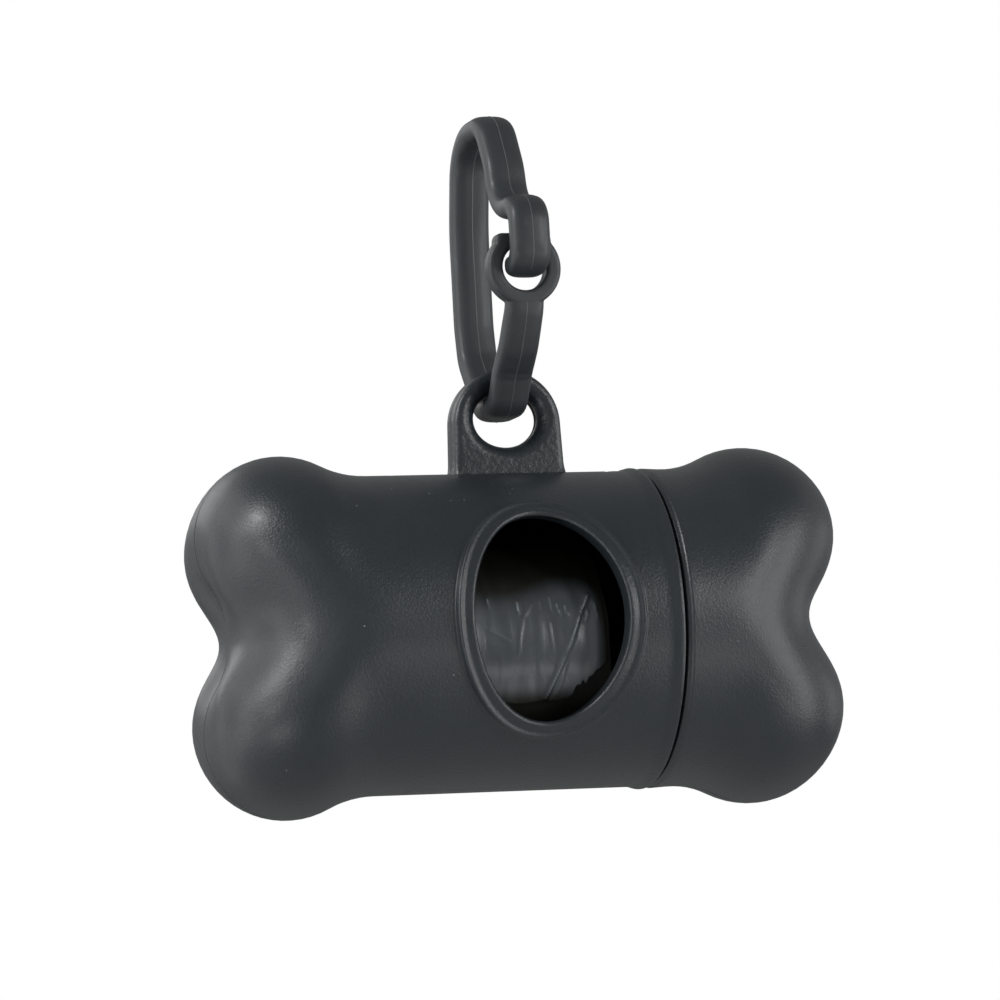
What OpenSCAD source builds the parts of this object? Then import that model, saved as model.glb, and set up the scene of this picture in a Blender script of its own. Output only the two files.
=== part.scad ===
// Bone-shaped dispenser for rolls of dog waste bags: a two-shell case with a pull-off
// end cap, a bag roll inside, and a one-piece plastic carabiner through the case's tab.
// Frame: +Z up, barrel along X, window towards -Y, origin under the top of the
// carabiner's crook, where the carabiner hangs from a lead or a hook.

/* [Case] */
// Length of the whole bone, lobe tip to lobe tip
case_length = 80.4; // [78:0.2:84]
// Outer diameter of the straight barrel
barrel_d = 39.4; // [39:0.1:40]
// Height over the upper and lower lobes
lobe_span = 44.6; // [44:0.1:45.6]
// Radius of each lobe in the side outline
lobe_r = 10.3; // [10:0.1:10.6]
// Depth of the notch between two lobes
notch_depth = 4.2; // [3.6:0.1:4.8]
// Distance from mid-length to where the barrel starts to flare
waist_x = 18.9; // [18.4:0.1:19.4]
// Wall thickness of every shell
wall = 1.6; // [1.4:0.1:1.8]

/* [Case ends] */
// Distance from mid-length to where the front and back start to round off
plan_start = 23.4; // [21:0.2:25]
// Squareness of the end seen from above
plan_power = 2.9; // [2.4:0.1:3.4]
// How sharply the lobes rise out of the valley between them
lobe_power = 5.2; // [3:0.1:7]

/* [Cap joint] */
// Place of the joint between case and cap, from mid-length
joint_x = 15.9; // [15.4:0.1:16.4]
// Open groove between the case mouth and the cap mouth
joint_gap = 0.4; // [0.2:0.05:0.6]
// Height of the bead round each mouth
bead_h = 0.35; // [0.2:0.05:0.5]
// Width of the bead round each mouth
bead_w = 1.5; // [1:0.1:2]
// Length of the sleeve inside the case mouth
sleeve_in = 5.6; // [4:0.2:6]
// Length of the sleeve inside the cap
sleeve_out = 4; // [3:0.2:5]
// Wall of the sleeve
sleeve_wall = 1.5; // [1.2:0.1:1.8]
// Running clearance round the sleeve
sleeve_fit = 0.08; // [0.05:0.01:0.1]

/* [Window] */
// Width of the oval opening
window_w = 18.7; // [16:0.1:20]
// Height of the oval opening
window_h = 24.9; // [22:0.1:26]
// Place of the opening's middle along the barrel
window_x = -1.5; // [-2.5:0.1:-1]
// Width of the whole raised rim along the barrel
rim_w = 2.5; // [2:0.1:2.8]
// Height of the rim over the barrel
rim_h = 0.9; // [0.5:0.1:1.2]
// Width of the lower lip inside the rim
lip_w = 1.1; // [0.8:0.1:1.4]
// Height of the lower lip over the barrel
lip_h = 0.4; // [0.2:0.05:0.45]

/* [Tab] */
// Width of the hanging tab
tab_w = 13.8; // [13.4:0.1:14.4]
// Thickness of the hanging tab
tab_t = 4.3; // [4:0.1:4.4]
// Height of the tab's top over the barrel axis
tab_top = 32.7; // [32.5:0.1:33]
// Width of the hole in the tab
hole_w = 8.5; // [8.4:0.1:8.8]
// Height of the hole in the tab
hole_h = 7; // [7:0.1:7.2]
// Height of the hole's middle over the barrel axis
hole_z = 26.5; // [26.45:0.05:26.55]
// Chamfer round the hole on both faces
hole_chamfer = 0.8; // [0.8:0.1:1]

/* [Bag roll] */
// Outer diameter of the wound bags
roll_d = 28.2; // [20:0.2:28.4]
// Length of the roll
roll_l = 37.6; // [30:0.2:38]
// Place of the roll's left end, from mid-length
roll_x = -29.2; // [-29.4:0.1:-28.6]
// Thickness of the loose outermost bag
leader_t = 0.4; // [0.3:0.05:0.5]
// Angle that the outermost bag wraps over the roll's front
leader_angle = 150; // [90:5:220]
// Angle below the front at which the outermost bag ends
leader_drop = 24; // [10:1:40]
// Outer diameter of the cardboard core
core_d = 12; // [9:0.5:14]
// Wall of the cardboard core
core_wall = 0.9; // [0.6:0.1:1.2]
// Gap left under the resting roll
rest_gap = 0.3; // [0.3:0.05:0.5]

/* [Carabiner] */
// Width of the wire across the carabiner's plane
wire_w = 4.8; // [4.4:0.1:4.8]
// Thickness of the wire in the carabiner's plane
wire_t = 2.9; // [2.7:0.1:2.9]
// Corner radius of the wire
wire_round = 1.3; // [1.1:0.05:1.3]
// Turn of the carabiner about the vertical
carabiner_turn = 2; // [0:0.5:3]
// Height of the wire's middle at the crook, over the barrel axis
crook_top = 63.15; // [63:0.05:64]
// Height of the wire's middle in the tab's hole, over the barrel axis
saddle_z = 27.9; // [27.85:0.05:27.95]
// Outer diameter of the eye at the gate's tip
eye_d = 9.4; // [9.2:0.1:9.6]
// Diameter of the hole through the eye
eye_hole_d = 6; // [6:0.1:6.2]
// Thickness of the eye
eye_t = 2.4; // [2.2:0.1:2.4]
// Width of the square thumb lug over the eye
lug_w = 7.2; // [6.4:0.1:7.6]

/* [Hidden] */
$fn = 96;

plastic = [0.23, 0.24, 0.25];
film = [0.08, 0.08, 0.08];
card = [0.72, 0.6, 0.45];

barrel_r = barrel_d / 2;
bore_r = barrel_r - wall;
crook_z = crook_top - wire_t / 2;

function mix(a, b, k) = a + (b - a) * k;
function heading(from, to) = atan2(to.y - from.y, to.x - from.x);
function on_arc(c, r, a) = [c.x + r * cos(a), c.y + r * sin(a)];
function sum_sq(a, b) = a * a + b * b;

// ---------------------------------------------------------------- end outline
// Side outline of a lobed end: waist fillet, lobe and notch fillet, each tangent to the next
tip_x = case_length / 2;
lobe_c = [tip_x - lobe_r, lobe_span / 2 - lobe_r];
notch_x = tip_x - notch_depth;
notch_reach = notch_x - lobe_c.x;
notch_r = (sum_sq(notch_reach, lobe_c.y) - lobe_r * lobe_r) / (2 * (lobe_r - notch_reach));
notch_c = [notch_x + notch_r, 0];
waist_run = lobe_c.x - waist_x;
waist_rise = barrel_r - lobe_c.y;
waist_r = (sum_sq(waist_run, waist_rise) - lobe_r * lobe_r) / (2 * (lobe_r - waist_rise));
waist_c = [waist_x, barrel_r + waist_r];

waist_end = heading(waist_c, lobe_c);
lobe_start = heading(lobe_c, waist_c);
lobe_end = heading(lobe_c, notch_c);
notch_start = heading(notch_c, lobe_c);
waist_len = waist_r * (waist_end + 90);
lobe_len = lobe_r * (lobe_start - lobe_end);
notch_len = notch_r * (180 - notch_start);
side_len = waist_len + lobe_len + notch_len;

// Side outline at t from 0 at the waist to 1 at the notch, moved inwards by inset
function side_pt(t, inset) =
    let (s = t * side_len, s2 = s - waist_len, s3 = s2 - lobe_len)
    s2 < 0 ? on_arc(waist_c, waist_r + inset, mix(-90, waist_end, s / waist_len))
    : s3 < 0 ? on_arc(lobe_c, lobe_r - inset, mix(lobe_start, lobe_end, s2 / lobe_len))
    : on_arc(notch_c, notch_r + inset, mix(notch_start, 180, s3 / notch_len));

// Plan outline at t, a quarter of a squared-off oval
function plan_pt(t, inset) =
    [plan_start + (notch_x - inset - plan_start) * pow(sin(90 * t), 2 / plan_power),
     (barrel_r - inset) * pow(cos(90 * t), 2 / plan_power)];

// A point of the end's skin: the plan outline in front, the side outline above and below
function skin_pt(t, turn, inset) =
    let (k = 1 - pow(abs(cos(turn)), lobe_power))
    let (p = mix(plan_pt(t, inset), side_pt(t, inset), k))
    [p.x, -p.y * cos(turn), p.y * sin(turn)];

// ---------------------------------------------------------------- lobed end
end_steps = 22;
half_steps = 24;
seat_depth = 1.5;
seat_inset = 0.45;
seat_lip = 0.05;
facet_sag = bore_r * (1 - cos(90 / half_steps)) + 0.01;

// Rings of one skin: two inside the barrel's wall, then the end's own surface
function seat_pt(x, r, turn) = [x, -r * cos(turn), r * sin(turn)];
function outer_pt(i, turn) =
    i == 0 ? seat_pt(waist_x - seat_depth, barrel_r - seat_inset, turn)
    : i == 1 ? seat_pt(waist_x - seat_lip, barrel_r - 0.02, turn)
    : skin_pt((i - 2) / end_steps, turn, 0);
function inner_pt(i, turn) =
    i == 0 ? seat_pt(waist_x - seat_depth, bore_r + seat_inset, turn)
    : i == 1 ? seat_pt(waist_x - seat_lip, bore_r + facet_sag, turn)
    : skin_pt((i - 2) / end_steps, turn, wall - facet_sag);

// Front half of one hollow end, its cut faces on Y = 0, its mouth seated in the barrel's wall
module half_end() {
    rows = end_steps + 2;
    cols = half_steps + 1;
    total = rows * cols;
    last = total - cols;
    pole = 2 * total;
    turns = [for (j = [0:half_steps]) mix(-90, 90, j / half_steps)];
    outer = [for (i = [0:rows - 1]) for (a = turns) outer_pt(i, a)];
    inner = [for (i = [0:rows - 1]) for (a = turns) inner_pt(i, a)];
    poles = [[notch_x, 0, 0], [notch_x - wall, 0, 0]];

    skin = [
        for (i = [0:rows - 2]) for (j = [0:half_steps - 1]) for (f = [
            [i * cols + j, i * cols + j + 1, i * cols + j + cols + 1],
            [i * cols + j, i * cols + j + cols + 1, i * cols + j + cols]]) f,
        for (j = [0:half_steps - 1]) [last + j, last + j + 1, pole]];
    lining = [for (f = skin) [for (k = [2:-1:0]) f[k] == pole ? pole + 1 : f[k] + total]];
    mouth = [for (j = [0:half_steps - 1]) for (f = [
        [j, total + j, total + j + 1], [j, total + j + 1, j + 1]]) f];

    low = [for (i = [0:rows]) i < rows ? i * cols : pole];
    low_in = [for (i = [0:rows]) i < rows ? total + i * cols : pole + 1];
    high = [for (i = [0:rows]) i < rows ? i * cols + half_steps : pole];
    high_in = [for (i = [0:rows]) i < rows ? total + i * cols + half_steps : pole + 1];
    cut = [for (i = [0:rows - 1]) for (f = [
        [low[i], low[i + 1], low_in[i + 1]],
        [low[i], low_in[i + 1], low_in[i]],
        [high[i], high_in[i + 1], high[i + 1]],
        [high[i], high_in[i], high_in[i + 1]]]) f];

    polyhedron(concat(outer, inner, poles), concat(skin, lining, mouth, cut), convexity = 6);
}

// ---------------------------------------------------------------- barrel
// Turned profile about the X axis, from angle a0 through sweep, 180 being the front
module turned(a0 = 0, sweep = 360) {
    rotate([90, 0, 90]) rotate([0, 0, a0]) rotate_extrude(angle = sweep) children();
}

module half_barrel(x0, x1, bead_x) {
    turned(90, 180) {
        translate([bore_r, x0]) square([wall, x1 - x0]);
        translate([bore_r + wall / 2, bead_x]) square([wall / 2 + bead_h, bead_w]);
    }
}

case_mouth = joint_x - joint_gap / 2;
cap_mouth = joint_x + joint_gap / 2;
seat_x = waist_x - 0.02;

module half_case() {
    half_barrel(-seat_x, case_mouth, case_mouth - bead_w);
    mirror([1, 0, 0]) half_end();
}

module half_cap() {
    half_barrel(cap_mouth, seat_x, cap_mouth);
    half_end();
}

// ---------------------------------------------------------------- window
oval_steps = 48;
rim_rise = rim_w * 0.8;

module oval(grow_x, grow_z) {
    polygon([for (i = [0:oval_steps - 1])
        let (a = 360 * (i + 0.5) / oval_steps)
        [(window_w / 2 + grow_x) * cos(a), (window_h / 2 + grow_z) * sin(a)]]);
}

module oval_prism(grow_x, grow_z) {
    translate([window_x, -5, 0]) rotate([90, 0, 0]) linear_extrude(20) oval(grow_x, grow_z);
}

module curved_plate(rise, grow_x, grow_z) {
    intersection() {
        turned() translate([barrel_r - wall / 2, -25]) square([wall / 2 + rise, 50]);
        oval_prism(grow_x, grow_z);
    }
}

module window_rim() {
    difference() {
        curved_plate(rim_h, rim_w, rim_rise);
        oval_prism(lip_w, lip_w * 0.8);
    }
    curved_plate(lip_h, lip_w + 0.3, lip_w * 0.8 + 0.3);
}

// ---------------------------------------------------------------- tab
tab_r = tab_w / 2;
tab_draft = 0.25;

module y_disc(r1, r2, depth) {
    rotate([90, 0, 0]) cylinder(h = depth, r1 = r1, r2 = r2);
}

// Front half of the tab, its cut face on Y = 0
module half_tab() {
    base_z = barrel_r - wall / 2;
    crown_z = tab_top - tab_r;
    half_t = tab_t / 2;
    difference() {
        union() {
            translate([0, 0, crown_z]) y_disc(tab_r, tab_r, half_t);
            rotate([90, 0, 0]) linear_extrude(half_t) polygon([
                [-tab_r - tab_draft, base_z], [tab_r + tab_draft, base_z],
                [tab_r - tab_draft, crown_z + 1.5], [-tab_r + tab_draft, crown_z + 1.5]]);
        }
        translate([0, 1, hole_z]) scale([hole_w / hole_h, 1, 1]) {
            y_disc(hole_h / 2, hole_h / 2, half_t + 2);
        }
        translate([0, hole_chamfer - half_t, hole_z]) scale([hole_w / hole_h, 1, 1]) {
            y_disc(hole_h / 2, hole_h / 2 + 1.5 * hole_chamfer, 1.5 * hole_chamfer);
        }
    }
}

// ---------------------------------------------------------------- wire
// Corners of the wire's middle line in the carabiner's plane as [forward, up, radius],
// from the nose, over the crook and down the back arm to the hinge of the gate
eye_c = [11.9, 43.7];
hinge_c = [5.45, 31.55];
hinge_heading = 49;
frame_corners = [
    [eye_c.x - 0.6, eye_c.y + 0.2, 0],
    [15.3, eye_c.y + 0.2, 2.2],
    [15.3, 51.4, 2],
    [8, 51.5, 2],
    [6.7, 57.2, 10],
    [3.3, crook_top, 4],
    [-6.6, crook_top, 6.5],
    [-8.97, 51.7, 25],
    [-8.97, 39.5, 10],
    [-8.2, 35, 5],
    [-2.6, saddle_z, 2.6],
    [2.9, saddle_z, 2.6],
    [hinge_c.x, hinge_c.y, 0]];
gate_corners = [
    [hinge_c.x, hinge_c.y, 0],
    [8.6, 34.5, 8],
    [eye_c.x, 39.1, 3.6],
    [eye_c.x, 40.5, 0]];

function turn_at(c, i) =
    let (a = heading(c[i], c[i + 1]) - heading(c[i - 1], c[i]))
    a > 180 ? a - 360 : a < -180 ? a + 360 : a;

// Rounded middle line as [forward, up, heading], with arcs cut into short steps; the first
// and last headings are given, so that two wires can share one end face
function round_corner(c, i) =
    let (a = turn_at(c, i), r = c[i].z, h = heading(c[i - 1], c[i]), s = sign(a))
    let (back = r * tan(abs(a) / 2), from = [c[i].x - back * cos(h), c[i].y - back * sin(h)])
    let (mid = [from.x - s * r * sin(h), from.y + s * r * cos(h)], n = ceil(abs(a) / 9) + 1)
    [for (k = [0:n])
        let (g = h + a * k / n)
        [mid.x + s * r * sin(g), mid.y - s * r * cos(g), g]];
function middle_line(c, first, final) =
    let (n = len(c) - 1)
    concat([[c[0].x, c[0].y, first]],
           [for (i = [1:n - 1]) each round_corner(c, i)],
           [[c[n].x, c[n].y, final]]);

// Rounded-rectangle section of the wire, in steps of 22.5 degrees round each corner
function wire_section() = [
    for (q = [0:3]) for (k = [0:4])
        let (a = 90 * q + 22.5 * k)
        let (sx = q == 0 || q == 3 ? 1 : -1, sy = q < 2 ? 1 : -1)
        [sx * (wire_w / 2 - wire_round) + wire_round * cos(a),
         sy * (wire_t / 2 - wire_round) + wire_round * sin(a)]];

// Sweep of the section along a line; fit gives each station's [width, thickness] factors
module sweep(line, section, fit) {
    n = len(section);
    rows = len(line);
    pts = [for (i = [0:rows - 1]) for (s = section)
        let (g = line[i].z, across = s.x * fit[i].x, up = s.y * fit[i].y)
        [across, -(line[i].x - up * sin(g)), line[i].y + up * cos(g)]];
    sides = [for (i = [0:rows - 2]) for (j = [0:n - 1])
        let (a = i * n + j, b = i * n + (j + 1) % n)
        for (f = [[a, b + n, b], [a, a + n, b + n]]) f];
    first = [for (j = [0:n - 1]) j];
    final = [for (j = [n - 1:-1:0]) (rows - 1) * n + j];
    polyhedron(pts, concat(sides, [first, final]), convexity = 8);
}

module in_carabiner_plane() {
    rotate([0, 0, carabiner_turn]) children();
}

nose_taper = 0.9;
nose_shrink = 0.7;
neck_shrink = 0.55;

module wire_frame() {
    plain = middle_line(frame_corners, 0, hinge_heading);
    tip = plain[0];
    line = concat([tip, [tip.x + nose_taper, tip.y, tip.z]], [for (i = [1:len(plain) - 1]) plain[i]]);
    fit = [for (i = [0:len(line) - 1]) i == 0 ? [nose_shrink, nose_shrink] : [1, 1]];
    sweep(line, wire_section(), fit);
}

module wire_gate() {
    line = middle_line(gate_corners, hinge_heading, 90);
    n = len(line) - 1;
    fit = [for (i = [0:n]) [1, mix(1, neck_shrink, pow(i / n, 4))]];
    difference() {
        union() {
            sweep(line, wire_section(), fit);
            translate([0, eye_t / 2 - eye_c.x, eye_c.y]) y_disc(eye_d / 2, eye_d / 2, eye_t);
            translate([-lug_w / 2, -eye_c.x - eye_t / 2, eye_c.y]) cube([lug_w, eye_t, 4.3]);
        }
        translate([0, 5 - eye_c.x, eye_c.y]) y_disc(eye_hole_d / 2, eye_hole_d / 2, 10);
    }
}

// ---------------------------------------------------------------- roll
leader_r = roll_d / 2 + 0.1;
roll_z = -(bore_r - rest_gap - leader_r - leader_t);

module in_roll() {
    translate([0, 0, roll_z]) children();
}

// ---------------------------------------------------------------- nodes
module hang() {
    translate([0, 0, -crook_z]) children();
}

module carabiner_frame() {
    color(plastic) hang() in_carabiner_plane() wire_frame();
}

module carabiner_gate() {
    color(plastic) hang() in_carabiner_plane() wire_gate();
}

module case_front_shell() {
    color(plastic) hang() difference() {
        union() {
            half_case();
            window_rim();
            half_tab();
        }
        oval_prism(0, 0);
    }
}

module case_back_shell() {
    color(plastic) hang() mirror([0, 1, 0]) {
        half_case();
        half_tab();
    }
}

module cap_sleeve() {
    outer = bore_r - sleeve_fit;
    inner = outer - sleeve_wall;
    x0 = joint_x - sleeve_in;
    x1 = joint_x + sleeve_out;
    lead = 0.4;
    color(plastic) hang() turned() polygon([
        [inner, x0], [outer - lead, x0], [outer, x0 + 2 * lead], [outer, x1 - lead],
        [outer - lead, x1], [inner, x1]]);
}

module cap_front_shell() {
    color(plastic) hang() half_cap();
}

module cap_back_shell() {
    color(plastic) hang() mirror([0, 1, 0]) half_cap();
}

module roll_core() {
    color(card) hang() in_roll() turned() translate([core_d / 2 - core_wall, roll_x + 0.4])
        square([core_wall, roll_l - 0.8]);
}

module bag_roll() {
    r0 = core_d / 2 + 0.05;
    r1 = roll_d / 2;
    x0 = roll_x;
    x1 = roll_x + roll_l;
    soft = 0.6;
    color(film) hang() in_roll() turned() polygon([
        [r0, x0 + soft], [r0 + 2 * soft, x0], [r1 - soft, x0], [r1, x0 + soft],
        [r1, x1 - soft], [r1 - soft, x1], [r0 + 2 * soft, x1], [r0, x1 - soft]]);
}

module bag_leader() {
    edge = 0.8;
    color(film) hang() in_roll() turned(180 + leader_drop - leader_angle, leader_angle)
        translate([leader_r, roll_x + edge]) square([leader_t, roll_l - 2 * edge]);
}

carabiner_frame();
carabiner_gate();
case_front_shell();
case_back_shell();
cap_sleeve();
cap_front_shell();
cap_back_shell();
roll_core();
bag_roll();
bag_leader();
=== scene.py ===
"""Bone-shaped dispenser for dog waste bags: case, pull-off cap, bag roll and plastic carabiner."""
import logging
import math
from dataclasses import dataclass, field
from enum import Enum
from typing import Iterable, Sequence

import bmesh
import bpy
import numpy as np
from mathutils import Matrix, Vector


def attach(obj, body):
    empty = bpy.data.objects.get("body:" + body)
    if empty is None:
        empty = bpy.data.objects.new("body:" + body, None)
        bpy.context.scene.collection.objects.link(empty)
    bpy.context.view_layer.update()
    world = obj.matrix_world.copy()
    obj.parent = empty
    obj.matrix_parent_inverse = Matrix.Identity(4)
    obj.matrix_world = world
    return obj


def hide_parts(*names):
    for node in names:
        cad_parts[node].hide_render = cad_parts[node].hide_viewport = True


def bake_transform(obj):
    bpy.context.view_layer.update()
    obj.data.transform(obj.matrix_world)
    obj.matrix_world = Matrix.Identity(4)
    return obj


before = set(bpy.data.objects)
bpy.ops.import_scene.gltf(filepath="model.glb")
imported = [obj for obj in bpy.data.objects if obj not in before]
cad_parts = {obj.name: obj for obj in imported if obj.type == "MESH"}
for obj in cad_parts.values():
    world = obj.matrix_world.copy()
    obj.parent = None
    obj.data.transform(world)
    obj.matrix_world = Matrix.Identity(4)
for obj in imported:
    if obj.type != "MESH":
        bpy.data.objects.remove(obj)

LOG = logging.getLogger("dispenser")
MM = 0.001
AXIS_Z = -61.7  # barrel axis below the hanging point, mm
WELD, WELD_SHIFT = 500.0, 0.237  # points are merged on a grid of 1 / WELD mm, shifted off round sizes
CHARCOAL = (0.0130, 0.0184, 0.0220), (0.0235, 0.0295, 0.0338)
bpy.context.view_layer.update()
Array = np.ndarray


# ---------------------------------------------------------------- small maths
def mix(a, b, k):
    """Straight blend from a to b by k."""
    return a + (b - a) * k


def smooth(k: Array | float, lo: float = 0.0, hi: float = 1.0) -> Array:
    """Smooth step of k from 0 at lo to 1 at hi."""
    u = np.clip((np.asarray(k, float) - lo) / (hi - lo), 0.0, 1.0)
    return u * u * (3.0 - 2.0 * u)


def hill(k: Array, middle: float, width: float) -> Array:
    """Bell curve of height 1 at middle."""
    return np.exp(-(((np.asarray(k, float) - middle) / width) ** 2))


class Ripple:
    """Seeded sum of plane waves: a smooth random height over two coordinates."""

    def __init__(self, seed: int, size: float, waves: int = 14) -> None:
        """Draws the waves.

        Args:
            seed: fixes the pattern.
            size: typical distance between bumps, in the coordinates' unit.
            waves: how many waves are summed.
        """
        rng = np.random.default_rng(seed)
        turn = rng.uniform(0, 2 * math.pi, waves)
        rate = 2 * math.pi / (size * rng.uniform(0.7, 1.8, waves))
        self.kx, self.ky = rate * np.cos(turn), rate * np.sin(turn)
        self.phase = rng.uniform(0, 2 * math.pi, waves)
        self.gain = 1.0 / math.sqrt(waves / 2)

    def __call__(self, x: Array, y: Array) -> Array:
        """Height at x, y, mostly within -2 and 2."""
        arg = np.multiply.outer(x, self.kx) + np.multiply.outer(y, self.ky) + self.phase
        return np.sin(arg).sum(-1) * self.gain


# ---------------------------------------------------------------- meshes
def add_object(name: str, data: bpy.types.ID | None) -> bpy.types.Object:
    """Adds an object with its data to the scene."""
    obj = bpy.data.objects.new(name, data)
    bpy.context.scene.collection.objects.link(obj)
    return obj


def apply_modifiers(obj: bpy.types.Object) -> bpy.types.Mesh:
    """Replaces an object's mesh by what its modifiers make of it."""
    bpy.context.view_layer.update()
    done = bpy.data.meshes.new_from_object(obj.evaluated_get(bpy.context.evaluated_depsgraph_get()))
    obj.modifiers.clear()
    obj.data = done
    return done


def make_mesh(name: str, points_mm: Array, faces: Iterable[Sequence[int]],
              crease: float = 35.0) -> bpy.types.Object:
    """Makes a smooth-shaded mesh object at the origin, with its faces turned outwards.

    Args:
        name: object name.
        points_mm: points in the row frame, in millimetres.
        faces: corner numbers of each face.
        crease: edges sharper than this many degrees stay sharp.

    Returns:
        The new object, linked to the scene.
    """
    mesh = bpy.data.meshes.new(name)
    mesh.from_pydata((np.asarray(points_mm, float) * MM).tolist(), [], [list(map(int, f)) for f in faces])
    work = bmesh.new()
    work.from_mesh(mesh)
    bmesh.ops.recalc_face_normals(work, faces=work.faces)
    work.to_mesh(mesh)
    work.free()
    mesh.shade_smooth()
    mesh.set_sharp_from_angle(angle=math.radians(crease))
    mesh.update()
    return add_object(name, mesh)


def fuse(name: str, parts: Sequence[bpy.types.Object], voxel: float, rounds: int) -> bpy.types.Object:
    """Joins overlapping solids into one skin whose inner corners become fillets.

    Args:
        name: object name of the result.
        parts: closed solids, which are used up.
        voxel: grid size, millimetres.
        rounds: smoothing rounds.

    Returns:
        The fused object.
    """
    work = bmesh.new()
    for part in parts:
        work.from_mesh(part.data)
        bpy.data.objects.remove(part)
    mesh = bpy.data.meshes.new(name)
    work.to_mesh(mesh)
    work.free()
    obj = add_object(name, mesh)
    grid = obj.modifiers.new("grid", "REMESH")
    grid.mode, grid.voxel_size, grid.use_smooth_shade = "VOXEL", voxel * MM, True
    calm = obj.modifiers.new("calm", "SMOOTH")
    calm.factor, calm.iterations = 0.5, rounds
    apply_modifiers(obj).shade_smooth()
    return obj


def tube_faces(rows: int, around: int, closed: bool = True) -> list[list[int]]:
    """Quads of rows of points, each row going round once when closed."""
    last = around if closed else around - 1
    return [[i * around + j, i * around + (j + 1) % around,
             (i + 1) * around + (j + 1) % around, (i + 1) * around + j]
            for i in range(rows - 1) for j in range(last)]


def ring_faces(rows: int, around: int) -> list[list[int]]:
    """Quads of closed rows of points whose last row also joins the first."""
    last = (rows - 1) * around
    return tube_faces(rows, around) + [[last + j, last + (j + 1) % around, (j + 1) % around, j]
                                       for j in range(around)]


def unit(vectors: Array) -> Array:
    """Flat vectors at length 1."""
    return vectors / np.hypot(vectors[:, 0], vectors[:, 1])[:, None]


def outward(ring: Array) -> Array:
    """Unit normals of a closed flat ring, pointing away from its middle."""
    step = np.roll(ring, -1, 0) - np.roll(ring, 1, 0)
    out = unit(np.stack([step[:, 1], -step[:, 0]], 1))
    return out if (out * (ring - ring.mean(0))).sum() > 0 else -out


class WalledSkin:
    """An open skin in two layers, outer and inner, that is closed into one solid wall."""

    def __init__(self) -> None:
        """Starts with no patches."""
        self.outer: list[Array] = []
        self.inner: list[Array] = []
        self.quads: list[list[int]] = []
        self.count = 0

    def add(self, outer: Array, inner: Array, loop: bool = False) -> None:
        """Adds a grid of points in both layers.

        Args:
            outer: rows x columns x 3 points of the outer layer.
            inner: the same grid on the inner layer.
            loop: whether the last column joins the first.
        """
        rows, cols = outer.shape[:2]
        faces = tube_faces(rows, cols, loop)
        self.quads += [[self.count + k for k in f] for f in faces]
        self.outer.append(outer.reshape(-1, 3))
        self.inner.append(inner.reshape(-1, 3))
        self.count += rows * cols

    def close(self) -> tuple[Array, list[list[int]]]:
        """Merges the patches and walls the skin.

        Returns:
            The points and the faces of the closed solid.
        """
        outer, inner = np.vstack(self.outer), np.vstack(self.inner)
        _, first, index = np.unique(np.round(outer * WELD + WELD_SHIFT).astype(np.int64), axis=0,
                                    return_index=True, return_inverse=True)
        index = index.reshape(-1)
        outer, inner, n = outer[first], inner[first], len(first)
        skin = []
        for quad in self.quads:
            ring = [index[k] for k in quad]
            ring = [k for i, k in enumerate(ring) if k != ring[i - 1]]
            if len(set(ring)) > 2:
                skin.append(ring)
        edges: dict[tuple[int, int], int] = {}
        for ring in skin:
            for a, b in zip(ring, ring[1:] + ring[:1]):
                edges[(min(a, b), max(a, b))] = edges.get((min(a, b), max(a, b)), 0) + 1
        border = [edge for edge, uses in edges.items() if uses == 1]
        walls = [[b, a, a + n, b + n] for a, b in border]
        lining = [[k + n for k in reversed(ring)] for ring in skin]
        return np.vstack([outer, inner]), skin + lining + walls


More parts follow.
